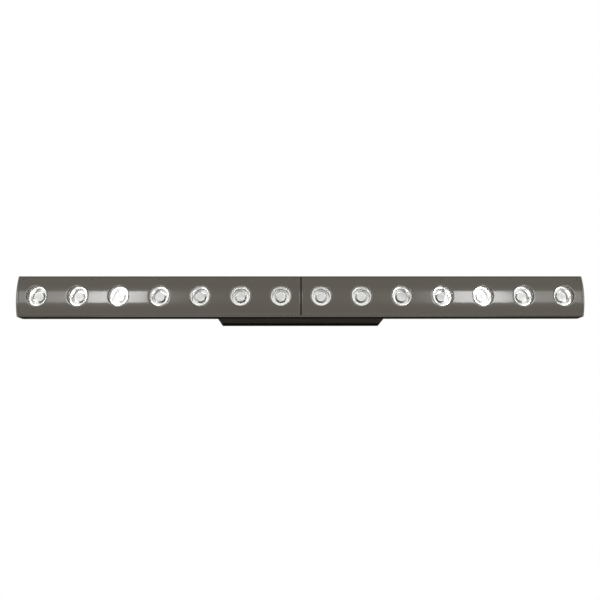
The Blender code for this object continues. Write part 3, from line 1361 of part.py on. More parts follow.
def tilt_knob(name, side):
    """A lobed hand knob with its threaded stud."""
    seat = yoke_outer_x + GAP
    loop = []
    count = KNOB_LOBES * 4
    for step in range(count):
        angle = 2 * math.pi * step / count
        radius = KNOB_RADIUS - KNOB_LOBE * (1 - math.cos(KNOB_LOBES * angle)) / 2
        loop.append((radius * math.cos(angle), mid_height + radius * math.sin(angle)))
    low, high = sorted((side * (seat + KNOB_COLLAR), side * (seat + KNOB_COLLAR + KNOB_HEIGHT)))
    axis = point(side * seat, pivot_depth, 0)
    plastic = finish(name + " plastic", (0.015, 0.015, 0.015), 0.45, 0.0)
    knob = add_part(name, outline_mesh(name, [loop], "X", low, high), plastic, axis)
    soften(knob, KNOB_EDGE, 1)
    inside = half_box - BOX_WALL - BOSS_LENGTH
    collar_end = point(side * (seat + KNOB_COLLAR + KNOB_EDGE * 2), pivot_depth, 0)
    collar = rods_mesh(name + "_collar", KNOB_COLLAR_RADIUS, [(axis, collar_end)], SOCKET_SEGMENTS)
    shape_with(knob, add_cutter(name + "_collar", collar), "UNION")
    stud_top = point(side * (seat + KNOB_COLLAR + KNOB_EDGE), pivot_depth, 0)
    stud_ends = [(point(side * inside, pivot_depth, 0), stud_top)]
    stud = rods_mesh(name + "_stud", STUD_RADIUS, stud_ends, TUBE_SEGMENTS)
    shape_with(knob, add_cutter(name + "_stud", stud), "UNION")


housing_extrusion()
end_cap("end_cap_left", -1)
end_cap("end_cap_right", 1)
front_panel("front_panel_left", -1)
front_panel("front_panel_right", 1)
lenses()
lens_tray("lens_tray_left", -1)
lens_tray("lens_tray_right", 1)
emitter_board("led_board_left", -1)
emitter_board("led_board_right", 1)
thermal_pad("thermal_pad_left", -1)
thermal_pad("thermal_pad_right", 1)
driver_housing()
driver_housing_screws()
cover_seal()
rear_cover()
rear_cover_screws()
power_supply()
control_board()
display_module()
display_window()
menu_buttons()
sockets()
fuse()
safety_eye()
cable_grommet()
led_lead("led_lead_left", -1)
led_lead("led_lead_right", 1)
friction_washer("friction_washer_left", -1)
friction_washer("friction_washer_right", 1)
yoke()
tilt_knob("tilt_knob_left", -1)
tilt_knob("tilt_knob_right", 1)
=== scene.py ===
import math

import bmesh
import bpy
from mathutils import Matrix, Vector


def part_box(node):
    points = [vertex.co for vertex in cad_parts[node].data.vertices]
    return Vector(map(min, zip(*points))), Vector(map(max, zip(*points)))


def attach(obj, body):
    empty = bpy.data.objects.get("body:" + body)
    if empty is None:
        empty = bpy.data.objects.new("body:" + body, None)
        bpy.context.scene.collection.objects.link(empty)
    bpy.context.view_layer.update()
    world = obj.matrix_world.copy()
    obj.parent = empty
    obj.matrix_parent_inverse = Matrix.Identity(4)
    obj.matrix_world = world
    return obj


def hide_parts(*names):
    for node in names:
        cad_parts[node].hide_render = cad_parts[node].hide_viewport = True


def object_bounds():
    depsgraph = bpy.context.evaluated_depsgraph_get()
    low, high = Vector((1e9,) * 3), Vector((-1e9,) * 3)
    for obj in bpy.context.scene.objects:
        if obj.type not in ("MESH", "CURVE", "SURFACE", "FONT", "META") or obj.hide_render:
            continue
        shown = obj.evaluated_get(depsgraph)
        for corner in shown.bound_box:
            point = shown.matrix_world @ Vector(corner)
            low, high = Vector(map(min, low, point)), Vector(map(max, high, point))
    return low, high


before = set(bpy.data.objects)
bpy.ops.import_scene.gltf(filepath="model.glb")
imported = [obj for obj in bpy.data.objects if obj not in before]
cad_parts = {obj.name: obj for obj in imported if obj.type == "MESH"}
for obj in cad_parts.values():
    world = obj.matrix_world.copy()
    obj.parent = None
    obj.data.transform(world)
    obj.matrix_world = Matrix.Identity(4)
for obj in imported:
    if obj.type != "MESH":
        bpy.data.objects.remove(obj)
cad_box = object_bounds()
bpy.ops.object.select_all(action="DESELECT")
scene = bpy.context.scene
scene.view_settings.view_transform = "Standard"


# The camera stands a metre and a half in front of the bar and a little below it, and looks
# slightly up, so the dark underside of the bar and of the box behind it shows below the lamps.
camera_place = (-0.01423, -1.447, -0.19806)
camera_turn = (99.334, 0.103, -0.498)
bpy.ops.object.camera_add(location=camera_place)
camera = bpy.context.object
camera.name = "camera"
camera.rotation_euler = [math.radians(angle) for angle in camera_turn]
camera.data.sensor_width = 36
camera.data.lens = 47.63
scene.camera = camera


# A pale floor carries the bar. Seen from underneath it is clear, because the camera stands lower
# than the floor does, and the white of the studio shows through it. Ahead of the bar it is also
# left out of what the gloss mirrors, or it would hide the lower halves of the strip lights.
def blank_finish(name):
    """A new material, its node tree and its shader."""
    material = bpy.data.materials.new(name)
    material.use_nodes = True
    return material, material.node_tree, material.node_tree.nodes["Principled BSDF"]


def combine(tree, operation, one, two):
    """What a Math node gives for two sockets of a node tree."""
    node = tree.nodes.new("ShaderNodeMath")
    node.operation = operation
    tree.links.new(one, node.inputs[0])
    tree.links.new(two, node.inputs[1])
    return node.outputs[0]


def choose(tree, share, one, two, output):
    """Show one shader where the share is 0 and the other where it is 1."""
    choice = tree.nodes.new("ShaderNodeMixShader")
    tree.links.new(share, choice.inputs["Fac"])
    tree.links.new(one, choice.inputs[1])
    tree.links.new(two, choice.inputs[2])
    tree.links.new(choice.outputs["Shader"], tree.nodes[output].inputs["Surface"])


floor_size = 16
floor_drop = 0.0006
clear_before = -0.0611
bpy.ops.mesh.primitive_plane_add(size=floor_size, location=(0, 0, -floor_drop))
floor = bpy.context.object
floor.name = "floor"
floor_finish, tree, floor_paint = blank_finish("pale floor")
floor_paint.inputs["Base Color"].default_value = (0.86, 0.86, 0.85, 1)
floor_paint.inputs["Roughness"].default_value = 0.9
floor_paint.inputs["Specular IOR Level"].default_value = 0.1
clear = tree.nodes.new("ShaderNodeBsdfTransparent")
side = tree.nodes.new("ShaderNodeNewGeometry")
path = tree.nodes.new("ShaderNodeLightPath")
place = tree.nodes.new("ShaderNodeTexCoord")
apart = tree.nodes.new("ShaderNodeSeparateXYZ")
tree.links.new(place.outputs["Object"], apart.inputs[0])
ahead = tree.nodes.new("ShaderNodeMath")
ahead.operation = "LESS_THAN"
ahead.inputs[1].default_value = clear_before
tree.links.new(apart.outputs["Y"], ahead.inputs[0])
reflected = combine(tree, "MAXIMUM", path.outputs["Is Glossy Ray"], path.outputs["Is Transmission Ray"])
mirrored = combine(tree, "MULTIPLY", ahead.outputs[0], reflected)
unlit = combine(tree, "MAXIMUM", path.outputs["Is Shadow Ray"], mirrored)
unseen = combine(tree, "MAXIMUM", side.outputs["Backfacing"], unlit)
choose(tree, unseen, floor_paint.outputs["BSDF"], clear.outputs["BSDF"], "Material Output")
floor.data.materials.append(floor_finish)


# The studio is a white tent. It shows white behind the bar and in its gloss, and gives a plain,
# even light of its own.
tent_light = 0.55
world = bpy.data.worlds.new("white tent")
scene.world = world
world.use_nodes = True
tree = world.node_tree
shown_white = tree.nodes["Background"]
shown_white.inputs["Color"].default_value = (1, 1, 1, 1)
shown_white.inputs["Strength"].default_value = 1
even_light = tree.nodes.new("ShaderNodeBackground")
even_light.inputs["Color"].default_value = (1, 0.985, 0.96, 1)
even_light.inputs["Strength"].default_value = tent_light
path = tree.nodes.new("ShaderNodeLightPath")
seen = combine(tree, "MAXIMUM", path.outputs["Is Camera Ray"], path.outputs["Is Glossy Ray"])
seen = combine(tree, "MAXIMUM", seen, path.outputs["Is Transmission Ray"])
choose(tree, seen, even_light.outputs["Background"], shown_white.outputs["Background"], "World Output")


# Two tall strip lights stand either side of the camera and mirror in the panels, each with a
# broader and weaker one outside it, and none of the four lights the floor. A dim light below keeps
# the underside from going black, and one above and behind lights the rear.
def studio_light(name, place, turn, width, height, watts):
    """A rectangular soft light at a place, turned by X and Z angles in degrees."""
    lamp = bpy.data.lights.new(name, "AREA")
    lamp.shape = "RECTANGLE"
    lamp.size = width
    lamp.size_y = height
    lamp.energy = watts
    holder = bpy.data.objects.new(name, lamp)
    holder.location = place
    holder.rotation_euler = (math.radians(turn[0]), 0, math.radians(turn[1]))
    holder.visible_camera = False
    scene.collection.objects.link(holder)
    return holder


tall_y = -1.43
tall_z = 0.19
tall_height = 0.78
dark_floor = bpy.data.collections.new("not lit by the strips")
dark_floor.objects.link(floor)
dark_floor.collection_objects[0].light_linking.link_state = "EXCLUDE"
for hand in (-1, 1):
    for kind, x, turn, width, watts in (("strip", 0.633, 8, 0.22, 6.1), ("broad", 0.93, 14, 0.34, 1.8)):
        name = "%s_light_%d" % (kind, hand)
        tall = studio_light(name, (hand * x, tall_y, tall_z), (90, hand * turn), width, tall_height, watts)
        tall.light_linking.receiver_collection = dark_floor
studio_light("back_light", (0, 1.1, 1.3), (-40, 0), 1.8, 0.9, 10)
studio_light("low_light", (0, -0.6, -1.35), (156, 0), 2.4, 1.2, 12)


# The housing of the bar is one length of extruded aluminium, painted black. Its base carries the
# boards in front and cooling fins behind, and two lips at the front edges hold the panels. The
# fronts of the lips are sprayed with the panels.
def noise(tree, scale, detail):
    """A noise that stays with the piece, from 0 to 1."""
    place = tree.nodes.new("ShaderNodeTexCoord")
    cloud = tree.nodes.new("ShaderNodeTexNoise")
    cloud.inputs["Scale"].default_value = scale
    cloud.inputs["Detail"].default_value = detail
    tree.links.new(place.outputs["Object"], cloud.inputs["Vector"])
    return cloud.outputs["Fac"]


def drift_between(tree, value, least, most, socket):
    """Lead a noise into a socket, between two values."""
    gloss = tree.nodes.new("ShaderNodeMapRange")
    gloss.inputs["To Min"].default_value = least
    gloss.inputs["To Max"].default_value = most
    tree.links.new(value, gloss.inputs["Value"])
    tree.links.new(gloss.outputs["Result"], socket)


def finish(name, colour, roughness, grain, relief, drift=0.1, metallic=0.0, coat=0.0, specular=0.5):
    """A finish with a fine grain in its surface, and colour and gloss that drift a little."""
    material, tree, shader = blank_finish(name)
    shader.inputs["Metallic"].default_value = metallic
    shader.inputs["Coat Weight"].default_value = coat
    shader.inputs["Coat Roughness"].default_value = 0.12
    shader.inputs["Specular IOR Level"].default_value = specular
    cloud = noise(tree, 14, 5)
    tint = tree.nodes.new("ShaderNodeMix")
    tint.data_type = "RGBA"
    tint.inputs["A"].default_value = (*[part * (1 - drift) for part in colour], 1)
    tint.inputs["B"].default_value = (*[part * (1 + drift) for part in colour], 1)
    tree.links.new(cloud, tint.inputs["Factor"])
    tree.links.new(tint.outputs["Result"], shader.inputs["Base Color"])
    drift_between(tree, cloud, roughness * 0.85, roughness * 1.15, shader.inputs["Roughness"])
    bump = tree.nodes.new("ShaderNodeBump")
    bump.inputs["Strength"].default_value = 1
    bump.inputs["Distance"].default_value = relief
    tree.links.new(noise(tree, 1 / grain, 3), bump.inputs["Height"])
    tree.links.new(bump.outputs["Normal"], shader.inputs["Normal"])
    return material


def switch(mode):
    """Go to edit mode or to object mode."""
    bpy.ops.object.mode_set(mode=mode)


def start_box(name, low, high):
    """A cube primitive brought to two corners, left in edit mode with nothing selected."""
    size = Vector(high) - Vector(low)
    bpy.ops.mesh.primitive_cube_add(size=1, location=(Vector(low) + Vector(high)) / 2, scale=size)
    bpy.ops.object.transform_apply()
    bpy.context.object.name = name
    switch("EDIT")
    bpy.ops.mesh.select_all(action="DESELECT")
    return bpy.context.object


def pick(piece, kind, test):
    """Select the faces or the edges that pass a test."""
    bpy.ops.mesh.select_mode(type=kind)
    bpy.ops.mesh.select_all(action="DESELECT")
    cage = bmesh.from_edit_mesh(piece.data)
    for part in cage.faces if kind == "FACE" else cage.edges:
        part.select_set(test(part))
    bmesh.update_edit_mesh(piece.data)


def pick_faces(piece, test):
    """Select the faces whose centre and normal pass a test."""
    pick(piece, "FACE", lambda face: test(face.calc_center_median(), face.normal))


def pick_edges(piece, test):
    """Select the edges whose two ends pass a test."""
    pick(piece, "EDGE", lambda edge: all(test(corner.co) for corner in edge.verts))


def push(x=0, y=0, z=0):
    """Extrude what is selected and move it."""
    bpy.ops.mesh.extrude_region_move(TRANSFORM_OT_translate={"value": (x, y, z)})


def cut(at, facing, **options):
    """Bisect the whole piece at a plane."""
    bpy.ops.mesh.select_all(action="SELECT")
    bpy.ops.mesh.bisect(plane_co=at, plane_no=facing, **options)


def change(piece, kind, **settings):
    """Give the piece a modifier with these settings, for good."""
    bpy.context.view_layer.objects.active = piece
    modifier = piece.modifiers.new("change", kind)
    for setting, value in settings.items():
        setattr(modifier, setting, value)
    bpy.ops.object.modifier_apply(modifier="change")


def round_edges(piece, width, segments=2, angle=40):
    """Give the piece rounded edges where it turns by more than an angle."""
    limit = math.radians(angle)
    change(piece, "BEVEL", width=width, segments=segments, limit_method="ANGLE", angle_limit=limit)


def put_down(piece, material, body, slot, *nodes):
    """Shade a finished piece, paint it, and let it ride in place of its CAD nodes."""
    bpy.ops.object.select_all(action="DESELECT")
    piece.select_set(True)
    bpy.context.view_layer.objects.active = piece
    bpy.ops.object.shade_smooth_by_angle(angle=math.radians(32))
    piece.data.materials.clear()
    piece.data.materials.append(material)
    piece.data.name = piece.name
    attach(piece, body)
    if nodes:
        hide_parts(*nodes)
    piece.select_set(False)


def paint_faces(piece, material, test):
    """Give the faces whose centre and normal pass a test another material."""
    piece.data.materials.append(material)
    for face in piece.data.polygons:
        if test(face.center, face.normal):
            face.material_index = len(piece.data.materials) - 1


near = 0.00001
mid_z = sum(corner.z for corner in cad_box) / 2
front_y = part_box("front_panel_left")[0].y
front_radius = 0.077
centre_y = front_y + front_radius
housing_low, housing_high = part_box("housing_extrusion")
base_front = front_y + 0.0283
base_rear = front_y + 0.0313
fin_tip = housing_high.y
half_high = mid_z
lip_inner = half_high - 0.0022
fin_half = 0.001
fin_pitch = 0.0064
rib_middle = 0.021
rib_half = 0.003
corner_inner = half_high - 0.006

housing = start_box(
    "housing_bar",
    (housing_low.x, base_front, housing_low.z),
    (housing_high.x, base_rear, housing_high.z),
)
walls = [corner_inner, rib_middle + rib_half, rib_middle - rib_half, lip_inner]
for fin in (0, 1, 2):
    walls += [fin * fin_pitch + fin_half, fin * fin_pitch - fin_half]
for wall in sorted(set(walls)):
    for up in (1, -1):
        cut((0, 0, mid_z + up * wall), (0, 0, 1))


def behind(height):
    """True where the extrusion has a fin, a mounting rib or a corner block."""
    height = abs(height)
    fins = any(abs(height - fin * fin_pitch) < fin_half for fin in (0, 1, 2))
    return fins or abs(height - rib_middle) < rib_half or height > corner_inner


pick_faces(housing, lambda at, facing: facing.y > 0.9 and behind(at.z - mid_z))
push(y=fin_tip - base_rear)
lip_front = centre_y - math.sqrt(front_radius**2 - lip_inner**2)
lip_corner = centre_y - math.sqrt(front_radius**2 - half_high**2)
pick_faces(housing, lambda at, facing: facing.y < -0.9 and abs(at.z - mid_z) > lip_inner)
push(y=lip_front - base_front)
pick_edges(housing, lambda at: at.y < lip_front + near and abs(at.z - mid_z) > half_high - near)
bpy.ops.transform.translate(value=(0, lip_corner - lip_front, 0))
switch("OBJECT")
housing_edge = 0.00025
round_edges(housing, housing_edge)
housing_black = finish("housing black", (0.026, 0.022, 0.018), 0.42, 0.0009, 0.00004)
panel_colour = (0.047, 0.0385, 0.0255)
panel_grey = finish("panel grey", panel_colour, 0.3, 0.0012, 0.000003, 0.06, coat=1, specular=0.25)
put_down(housing, housing_black, "light", "housing_paint", "housing_extrusion")
lip_face = lip_inner - 2 * housing_edge
paint_faces(housing, panel_grey, lambda at, facing: facing.y < -0.5 and abs(at.z - mid_z) > lip_face)


# Two soft silicone pads lead the heat of the boards into the housing. Their shape is plain, and
# they keep the CAD solids.
def dress(material, *node_names):
    """Give CAD nodes, whose shapes are kept, their finish."""
    for node_name in node_names:
        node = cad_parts[node_name]
        node.data.materials.clear()
        node.data.materials.append(material)


pad_grey = finish("pad grey", (0.26, 0.29, 0.32), 0.75, 0.0016, 0.00003, 0.08)
dress(pad_grey, "thermal_pad_left", "thermal_pad_right")


# Two aluminium boards with a white solder mask carry seven emitters each. They keep the CAD
# solids, the emitters and the screws among them.
board_mask = finish("white solder mask", (0.72, 0.73, 0.70), 0.35, 0.0006, 0.000004, 0.04, coat=0.3)
dress(board_mask, "led_board_left", "led_board_right")


# Two moulded trays hold the lenses by their flanges. They are black plastic with a fine spark
# eroded grain, and keep the CAD solids.
tray_black = finish("tray black", (0.014, 0.014, 0.014), 0.55, 0.0005, 0.00002, 0.12)
dress(tray_black, "lens_tray_left", "lens_tray_right")


# The lenses are fourteen moulded acrylic collimators. Each has a flat front with a small dimple, a
# flange, and a metallised cone behind it that narrows to a neck. The hollow for the emitter in the
# neck has a frosted top and a black side.
def face_outward():
    """Turn every face outward, and leave all of them selected."""
    bpy.ops.mesh.select_all(action="SELECT")
    bpy.ops.mesh.normals_make_consistent(inside=False)


def close_up():
    """Merge the corners that meet, turn every face outward and leave edit mode."""
    bpy.ops.mesh.select_all(action="SELECT")
    bpy.ops.mesh.remove_doubles(threshold=0.000001)
    face_outward()
    switch("OBJECT")


def lathe(stations, segments, capped=True):
    """A turned piece about Z: a circle extruded and scaled from one (height, radius) to the next."""
    height, radius = stations[0]
    fill = "NGON" if capped else "NOTHING"
    bpy.ops.mesh.primitive_circle_add(
        vertices=segments, radius=radius, fill_type=fill, location=(0, 0, height)
    )
    piece = bpy.context.object
    bpy.ops.object.transform_apply()
    switch("EDIT")
    pick_edges(piece, lambda at: True)
    for next_height, next_radius in stations[1:]:
        bpy.ops.mesh.extrude_edges_move(TRANSFORM_OT_translate={"value": (0, 0, next_height - height)})
        share = next_radius / radius
        bpy.ops.transform.resize(value=(share, share, 1), center_override=(0, 0, next_height))
        height, radius = next_height, next_radius
    if capped:
        bpy.ops.mesh.edge_face_add()
    close_up()
    return piece


def copy_to(piece, name, place, facing):
    """A copy with its own mesh, its Z axis turned to face a way, and its place in its mesh."""
    twin = bpy.data.objects.new(name, piece.data.copy())
    scene.collection.objects.link(twin)
    turn = Vector(facing).to_track_quat("Z", "Y").to_matrix().to_4x4()
    twin.data.transform(turn)
    for vertex in twin.data.vertices:
        vertex.co += Vector(place)
    return twin


def discard(*models):
    """Take out models, once they have been copied."""
    for model in models:
        bpy.data.objects.remove(model)


def clear_plastic(name, colour, clearness, smooth, dull):
    """Clear acrylic whose gloss drifts between two roughnesses, as wiped plastic's does."""
    material, tree, shader = blank_finish(name)
    shader.inputs["Base Color"].default_value = (*colour, 1)
    shader.inputs["Transmission Weight"].default_value = clearness
    shader.inputs["IOR"].default_value = 1.49
    drift_between(tree, noise(tree, 60, 2), smooth, dull, shader.inputs["Roughness"])
    return material


lamp_count = 14
half_length = cad_box[1].x
lamp_pitch = 2 * half_length / lamp_count
cell_x = lamp_pitch / 2
lens_face = front_y + 0.01
lens_radius = 0.0175
lens_edge = 0.0002
dimple_depth = 0.001
dimple_floor = 0.0014
dimple_radius = 0.0026
lens_neck = 0.0156
lens_height = 0.015
lens_foot = 0.0099
cone_depth = 0.0074
cone_rows = 5
hollow_depth = 0.0064
hollow_top = 0.0082
hollow_foot = 0.0091
flange = 0.0018
lens_stations = [(-dimple_depth, dimple_floor), (0, dimple_radius), (0, lens_radius - lens_edge)]
lens_stations += [(-lens_edge, lens_radius), (-flange, lens_radius)]
for row in range(cone_rows + 1):
    share = row / cone_rows
    depth = flange + (cone_depth - flange) * share
    lens_stations.append((-depth, lens_neck + (lens_foot - lens_neck) * share))
lens_stations += [(-lens_height, lens_foot), (-lens_height, hollow_foot), (-hollow_depth, hollow_top)]
lens_model = lathe(lens_stations, 32)
acrylic = clear_plastic("clear acrylic", (0.97, 0.97, 0.96), 1, 0.02, 0.04)
lens_mirror = finish("lens mirror", (0.96, 0.96, 0.95), 0.16, 0.0012, 0.000008, 0.02, metallic=1)
lens_frost = finish("frosted lens", (0.975, 0.975, 0.955), 0.3, 0.0008, 0.00002, 0.02)
lens_shade = finish("black lens foot", (0.02, 0.02, 0.02), 0.5, 0.0008, 0.00002)
slack = 0.0001
cone_front = lens_face + flange - slack
hollow_front = lens_face + hollow_depth - slack
hollow_side = lens_face + hollow_depth + slack


def from_lamp(at):
    """How far a point is from the axis of its lamp."""
    return math.hypot(abs(at.x) % lamp_pitch - cell_x, at.z - mid_z)


for number in range(lamp_count):
    x = (number + 0.5) * lamp_pitch - half_length
    name = "lens_%02d" % (number + 1)
    lens = copy_to(lens_model, name + "_collimator", (x, lens_face, mid_z), (0, -1, 0))
    put_down(lens, acrylic, "light", "lens_clear", name)
    paint_faces(lens, lens_mirror, lambda at, facing: at.y > cone_front)
    paint_faces(lens, lens_frost, lambda at, facing: hollow_front < at.y < hollow_side)
    paint_faces(lens, lens_shade, lambda at, facing: at.y > hollow_side and from_lamp(at) < hollow_foot)
discard(lens_model)


# The two front panels are moulded shells, sprayed a glossy dark grey. Each has a tapering tube
# behind every lamp opening, a rounded rim, and countersunk holes along both edges for screws. The
# tube walls are a lighter grey than the panels, a painted highlight for the light they catch.
def join(pieces):
    """Several tools made one."""
    bpy.ops.object.select_all(action="DESELECT")
    for piece in pieces:
        piece.select_set(True)
    bpy.context.view_layer.objects.active = pieces[0]
    bpy.ops.object.join()
    pieces[0].select_set(False)
    return pieces[0]


def change_with(piece, tool, operation="DIFFERENCE"):
    """Cut a tool from a piece, or join it on, for good, and throw the tool away."""
    change(piece, "BOOLEAN", operation=operation, solver="EXACT", object=tool)
    discard(tool)


def drum(middle_x, width, points):
    """A cylinder along the bar that has the curve of its front."""
    bpy.ops.mesh.primitive_cylinder_add(
        vertices=points,
        radius=front_radius,
        depth=width,
        rotation=(0, math.pi / 2, 0),
        location=(middle_x, centre_y, mid_z),
    )
    return bpy.context.object


hole_radius = 0.0172
hole_points = 128
tube_end_radius = 0.0169
tube_rear = lens_face - 0.0003
panel_half = 0.0338
panel_thickness = 0.0025
panel_edge = 0.0003
rim_rounding = 0.0022
edge_strip = 0.0006
guide_length = 0.2
panel_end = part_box("front_panel_right")
end_bevels = ((panel_end[0].x, 0.002, 1), (panel_end[1].x, 0.0009, -1))
cell_middle = (cell_x, front_y, mid_z)
bpy.ops.mesh.primitive_circle_add(
    vertices=hole_points, radius=hole_radius, rotation=(math.pi / 2, 0, 0), location=cell_middle
)
panel = bpy.context.object
panel.name = "panel_right"
bpy.ops.object.transform_apply()
switch("EDIT")
bpy.ops.mesh.select_all(action="DESELECT")
bpy.ops.mesh.primitive_plane_add(size=lamp_pitch, rotation=(math.pi / 2, 0, 0), location=cell_middle)
bpy.ops.mesh.delete(type="ONLY_FACE")


def on_cell_edge(at):
    """True for a point on the outer edge of the square about one lamp."""
    return max(abs(at.x - cell_x), abs(at.z - mid_z)) > lamp_pitch / 2 - near


pick_edges(panel, on_cell_edge)
bpy.ops.mesh.subdivide(number_cuts=hole_points // 4 - 1)
pick_edges(panel, on_cell_edge)
bpy.ops.transform.resize(value=(1, 1, panel_half * 2 / lamp_pitch), center_override=cell_middle)
bpy.ops.mesh.select_all(action="SELECT")
bpy.ops.mesh.bridge_edge_loops(number_cuts=5, interpolation="LINEAR")
face_outward()
switch("OBJECT")
curve_guide = drum(cell_x, guide_length, 1440)
along_y = {"wrap_method": "PROJECT", "use_project_y": True, "use_negative_direction": True}
change(panel, "SHRINKWRAP", target=curve_guide, **along_y)
discard(curve_guide)


def on_front(at):
    """True for a point on the curved outer face."""
    return abs(math.hypot(at.y - centre_y, at.z - mid_z) - front_radius) < 2 * near


switch("EDIT")
pick_edges(panel, lambda at: abs(from_lamp(at) - hole_radius) < near)
push(y=panel_thickness)
narrow = tube_end_radius / hole_radius
bpy.ops.transform.resize(value=(narrow, 0, narrow), center_override=(cell_x, tube_rear, mid_z))
face_outward()
cage = bmesh.from_edit_mesh(panel.data)
if sum(face.normal.y < -0.9 for face in cage.faces) < sum(face.normal.y > 0.9 for face in cage.faces):
    bpy.ops.mesh.flip_normals()
switch("OBJECT")
change(
    panel,
    "ARRAY",
    count=lamp_count // 2,
    use_relative_offset=False,
    use_constant_offset=True,
    constant_offset_displace=(lamp_pitch, 0, 0),
    use_merge_vertices=True,
    merge_threshold=2 * near,
)
switch("EDIT")
cut((panel_end[0].x, 0, 0), (1, 0, 0), clear_inner=True)
cut((panel_end[1].x, 0, 0), (1, 0, 0), clear_outer=True)
for top in (1, -1):
    cut((0, 0, mid_z + top * (panel_half - edge_strip)), (0, 0, 1))
for end, width, inward in end_bevels:
    cut((end + inward * (width + edge_strip), 0, 0), (1, 0, 0))
switch("OBJECT")
change(panel, "SOLIDIFY", thickness=panel_thickness, use_even_offset=True)
switch("EDIT")
pick_edges(panel, lambda at: on_front(at) and abs(from_lamp(at) - hole_radius) < near)
bpy.ops.mesh.bevel(offset=rim_rounding, segments=6)
for end, width, inward in end_bevels:
    pick_edges(panel, lambda at: on_front(at) and abs(at.x - end) < near)
    bpy.ops.mesh.bevel(offset=width, segments=4)
pick_edges(panel, lambda at: on_front(at) and abs(at.z - mid_z) > panel_half - near)
bpy.ops.mesh.bevel(offset=panel_edge, segments=2)
switch("OBJECT")

screw_height = 0.03
screw_margin = 0.01
screw_pitch = 0.12
head_radius = 0.0029
head_sink = 0.0002
head_depth = 0.0018
sink_radius = 0.0014
screw_angle = math.asin(screw_height / front_radius)
screw_spots = []
for step in range(5):
    for top in (1, -1):
        facing = Vector((0, -math.cos(screw_angle), top * math.sin(screw_angle)))
        spot = Vector((screw_margin + step * screw_pitch, centre_y, mid_z)) + facing * front_radius
        screw_spots.append((spot, facing))
sink_head = [(0.001, head_radius), (-head_sink, head_radius)]
sink = lathe(sink_head + [(-head_depth, sink_radius), (-0.004, sink_radius)], 24)
sinks = [copy_to(sink, "sink", spot, facing) for spot, facing in screw_spots]
discard(sink)
change_with(panel, join(sinks))

panel_left = bpy.data.objects.new("panel_left", panel.data.copy())
scene.collection.objects.link(panel_left)
for vertex in panel_left.data.vertices:
    vertex.co.x *= -1
panel_left.data.flip_normals()
# The walls inside the lamp openings take a lighter grey than the panels: a painted highlight, not their own
# colour.
tube_painted_highlight = finish("panel tube with painted highlight", (0.17, 0.16, 0.145), 0.3, 0.0012, 0.000003, 0.06, coat=1)
for shell, node_name in ((panel, "front_panel_right"), (panel_left, "front_panel_left")):
    put_down(shell, panel_grey, "light", "panel_paint", node_name)
    paint_faces(shell, tube_painted_highlight, lambda at, facing: from_lamp(at) < hole_radius - near)


# Twenty small countersunk screws hold the two panels. They are steel with a hexagon socket, and
# they are sprayed over with the panels.
def hex_screw(stations, segments, hex_radius, hex_depth):
    """A turned screw with a hexagon socket in its head, which is at the origin."""
    screw = lathe(stations, segments)
    bpy.ops.mesh.primitive_cylinder_add(vertices=6, radius=hex_radius, depth=2 * hex_depth)
    change_with(screw, bpy.context.object)
    return screw


hex_radius = 0.00125
hex_depth = 0.001
shank_radius = 0.00115
panel_screw_length = 0.0038
small_head = [(0, head_radius - head_sink), (head_sink - head_depth, 0.0013)]
screw = hex_screw(small_head + [(-panel_screw_length, shank_radius)], 24, hex_radius, hex_depth)
screw_grey = finish("painted screw", (0.047, 0.04, 0.026), 0.35, 0.0004, 0.00001, coat=0.7)
screw_count = 0
for spot, facing in screw_spots:
    for hand in (1, -1):
        screw_count += 1
        place = Vector((spot.x * hand, spot.y, spot.z)) - facing * head_sink
        panel_screw = copy_to(screw, "panel_screw_%02d" % screw_count, place, facing)
        put_down(panel_screw, screw_grey, "light", "panel_paint")
discard(screw)


# The end caps are flat cast plates that close the bar. Each follows the section of the bar, has
# rounded edges, and is painted a lighter grey than the panels.
cap_thickness = 0.003
cap_edge = 0.0005
cap_grey = finish("end cap grey", (0.075, 0.07, 0.058), 0.32, 0.0012, 0.000004, 0.06, coat=0.6)
for hand, name in ((-1, "end_cap_left"), (1, "end_cap_right")):
    cap_low, cap_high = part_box(name)
    cap = drum(hand * (half_length - cap_thickness / 2), cap_thickness, 720)
    cap.name = name + "_plate"
    bpy.ops.object.transform_apply()
    switch("EDIT")
    cut((0, 0, cap_low.z), (0, 0, 1), clear_inner=True, use_fill=True)
    cut((0, 0, cap_high.z), (0, 0, 1), clear_outer=True, use_fill=True)
    cut((0, fin_tip, 0), (0, 1, 0), clear_outer=True, use_fill=True)
    switch("OBJECT")
    round_edges(cap, cap_edge, 3)
    put_down(cap, cap_grey, "light", "cap_paint", name)


# Eight small countersunk screws, four at each end, hold the end caps. They are black oxidised
# steel with a hexagon socket.
cap_screw_length = 0.0128
cap_screw_sink = 0.0004
cap_screw_spots = [(front_y + 0.0159, 0.031), (front_y + 0.0353, 0.0333)]
screw = hex_screw(small_head + [(-cap_screw_length, shank_radius)], 24, hex_radius, hex_depth)
cap_screw_black = finish("cap screw black", (0.032, 0.03, 0.028), 0.35, 0.0004, 0.00001, 0.15, metallic=0.8)
screw_count = 0
for hand in (-1, 1):
    for y, height in cap_screw_spots:
        for top in (1, -1):
            screw_count += 1
            place = (hand * (half_length - cap_screw_sink), y, mid_z + top * height)
            cap_screw = copy_to(screw, "cap_screw_%d" % screw_count, place, (hand, 0, 0))
            put_down(cap_screw, cap_screw_black, "light", "black_screw_steel")
discard(screw)


# The driver box is a pressure die casting with a textured dark brown-grey paint, open at the
# rear. A pillar in each corner takes a screw of the cover, and the sides carry the tilt axis.
def round_along_y(piece, low, high, width, segments):
    """Round the four outer edges of a block that run along Y."""

    def is_outer(edge):
        one, two = (corner.co for corner in edge.verts)
        side = min(abs(one.x - low[0]), abs(one.x - high[0])) < near
        level = min(abs(one.z - low[2]), abs(one.z - high[2])) < near
        return side and level and abs(one.y - two.y) > max(abs(one.x - two.x), abs(one.z - two.z))

    pick(piece, "EDGE", is_outer)
    bpy.ops.mesh.bevel(offset=width, segments=segments)


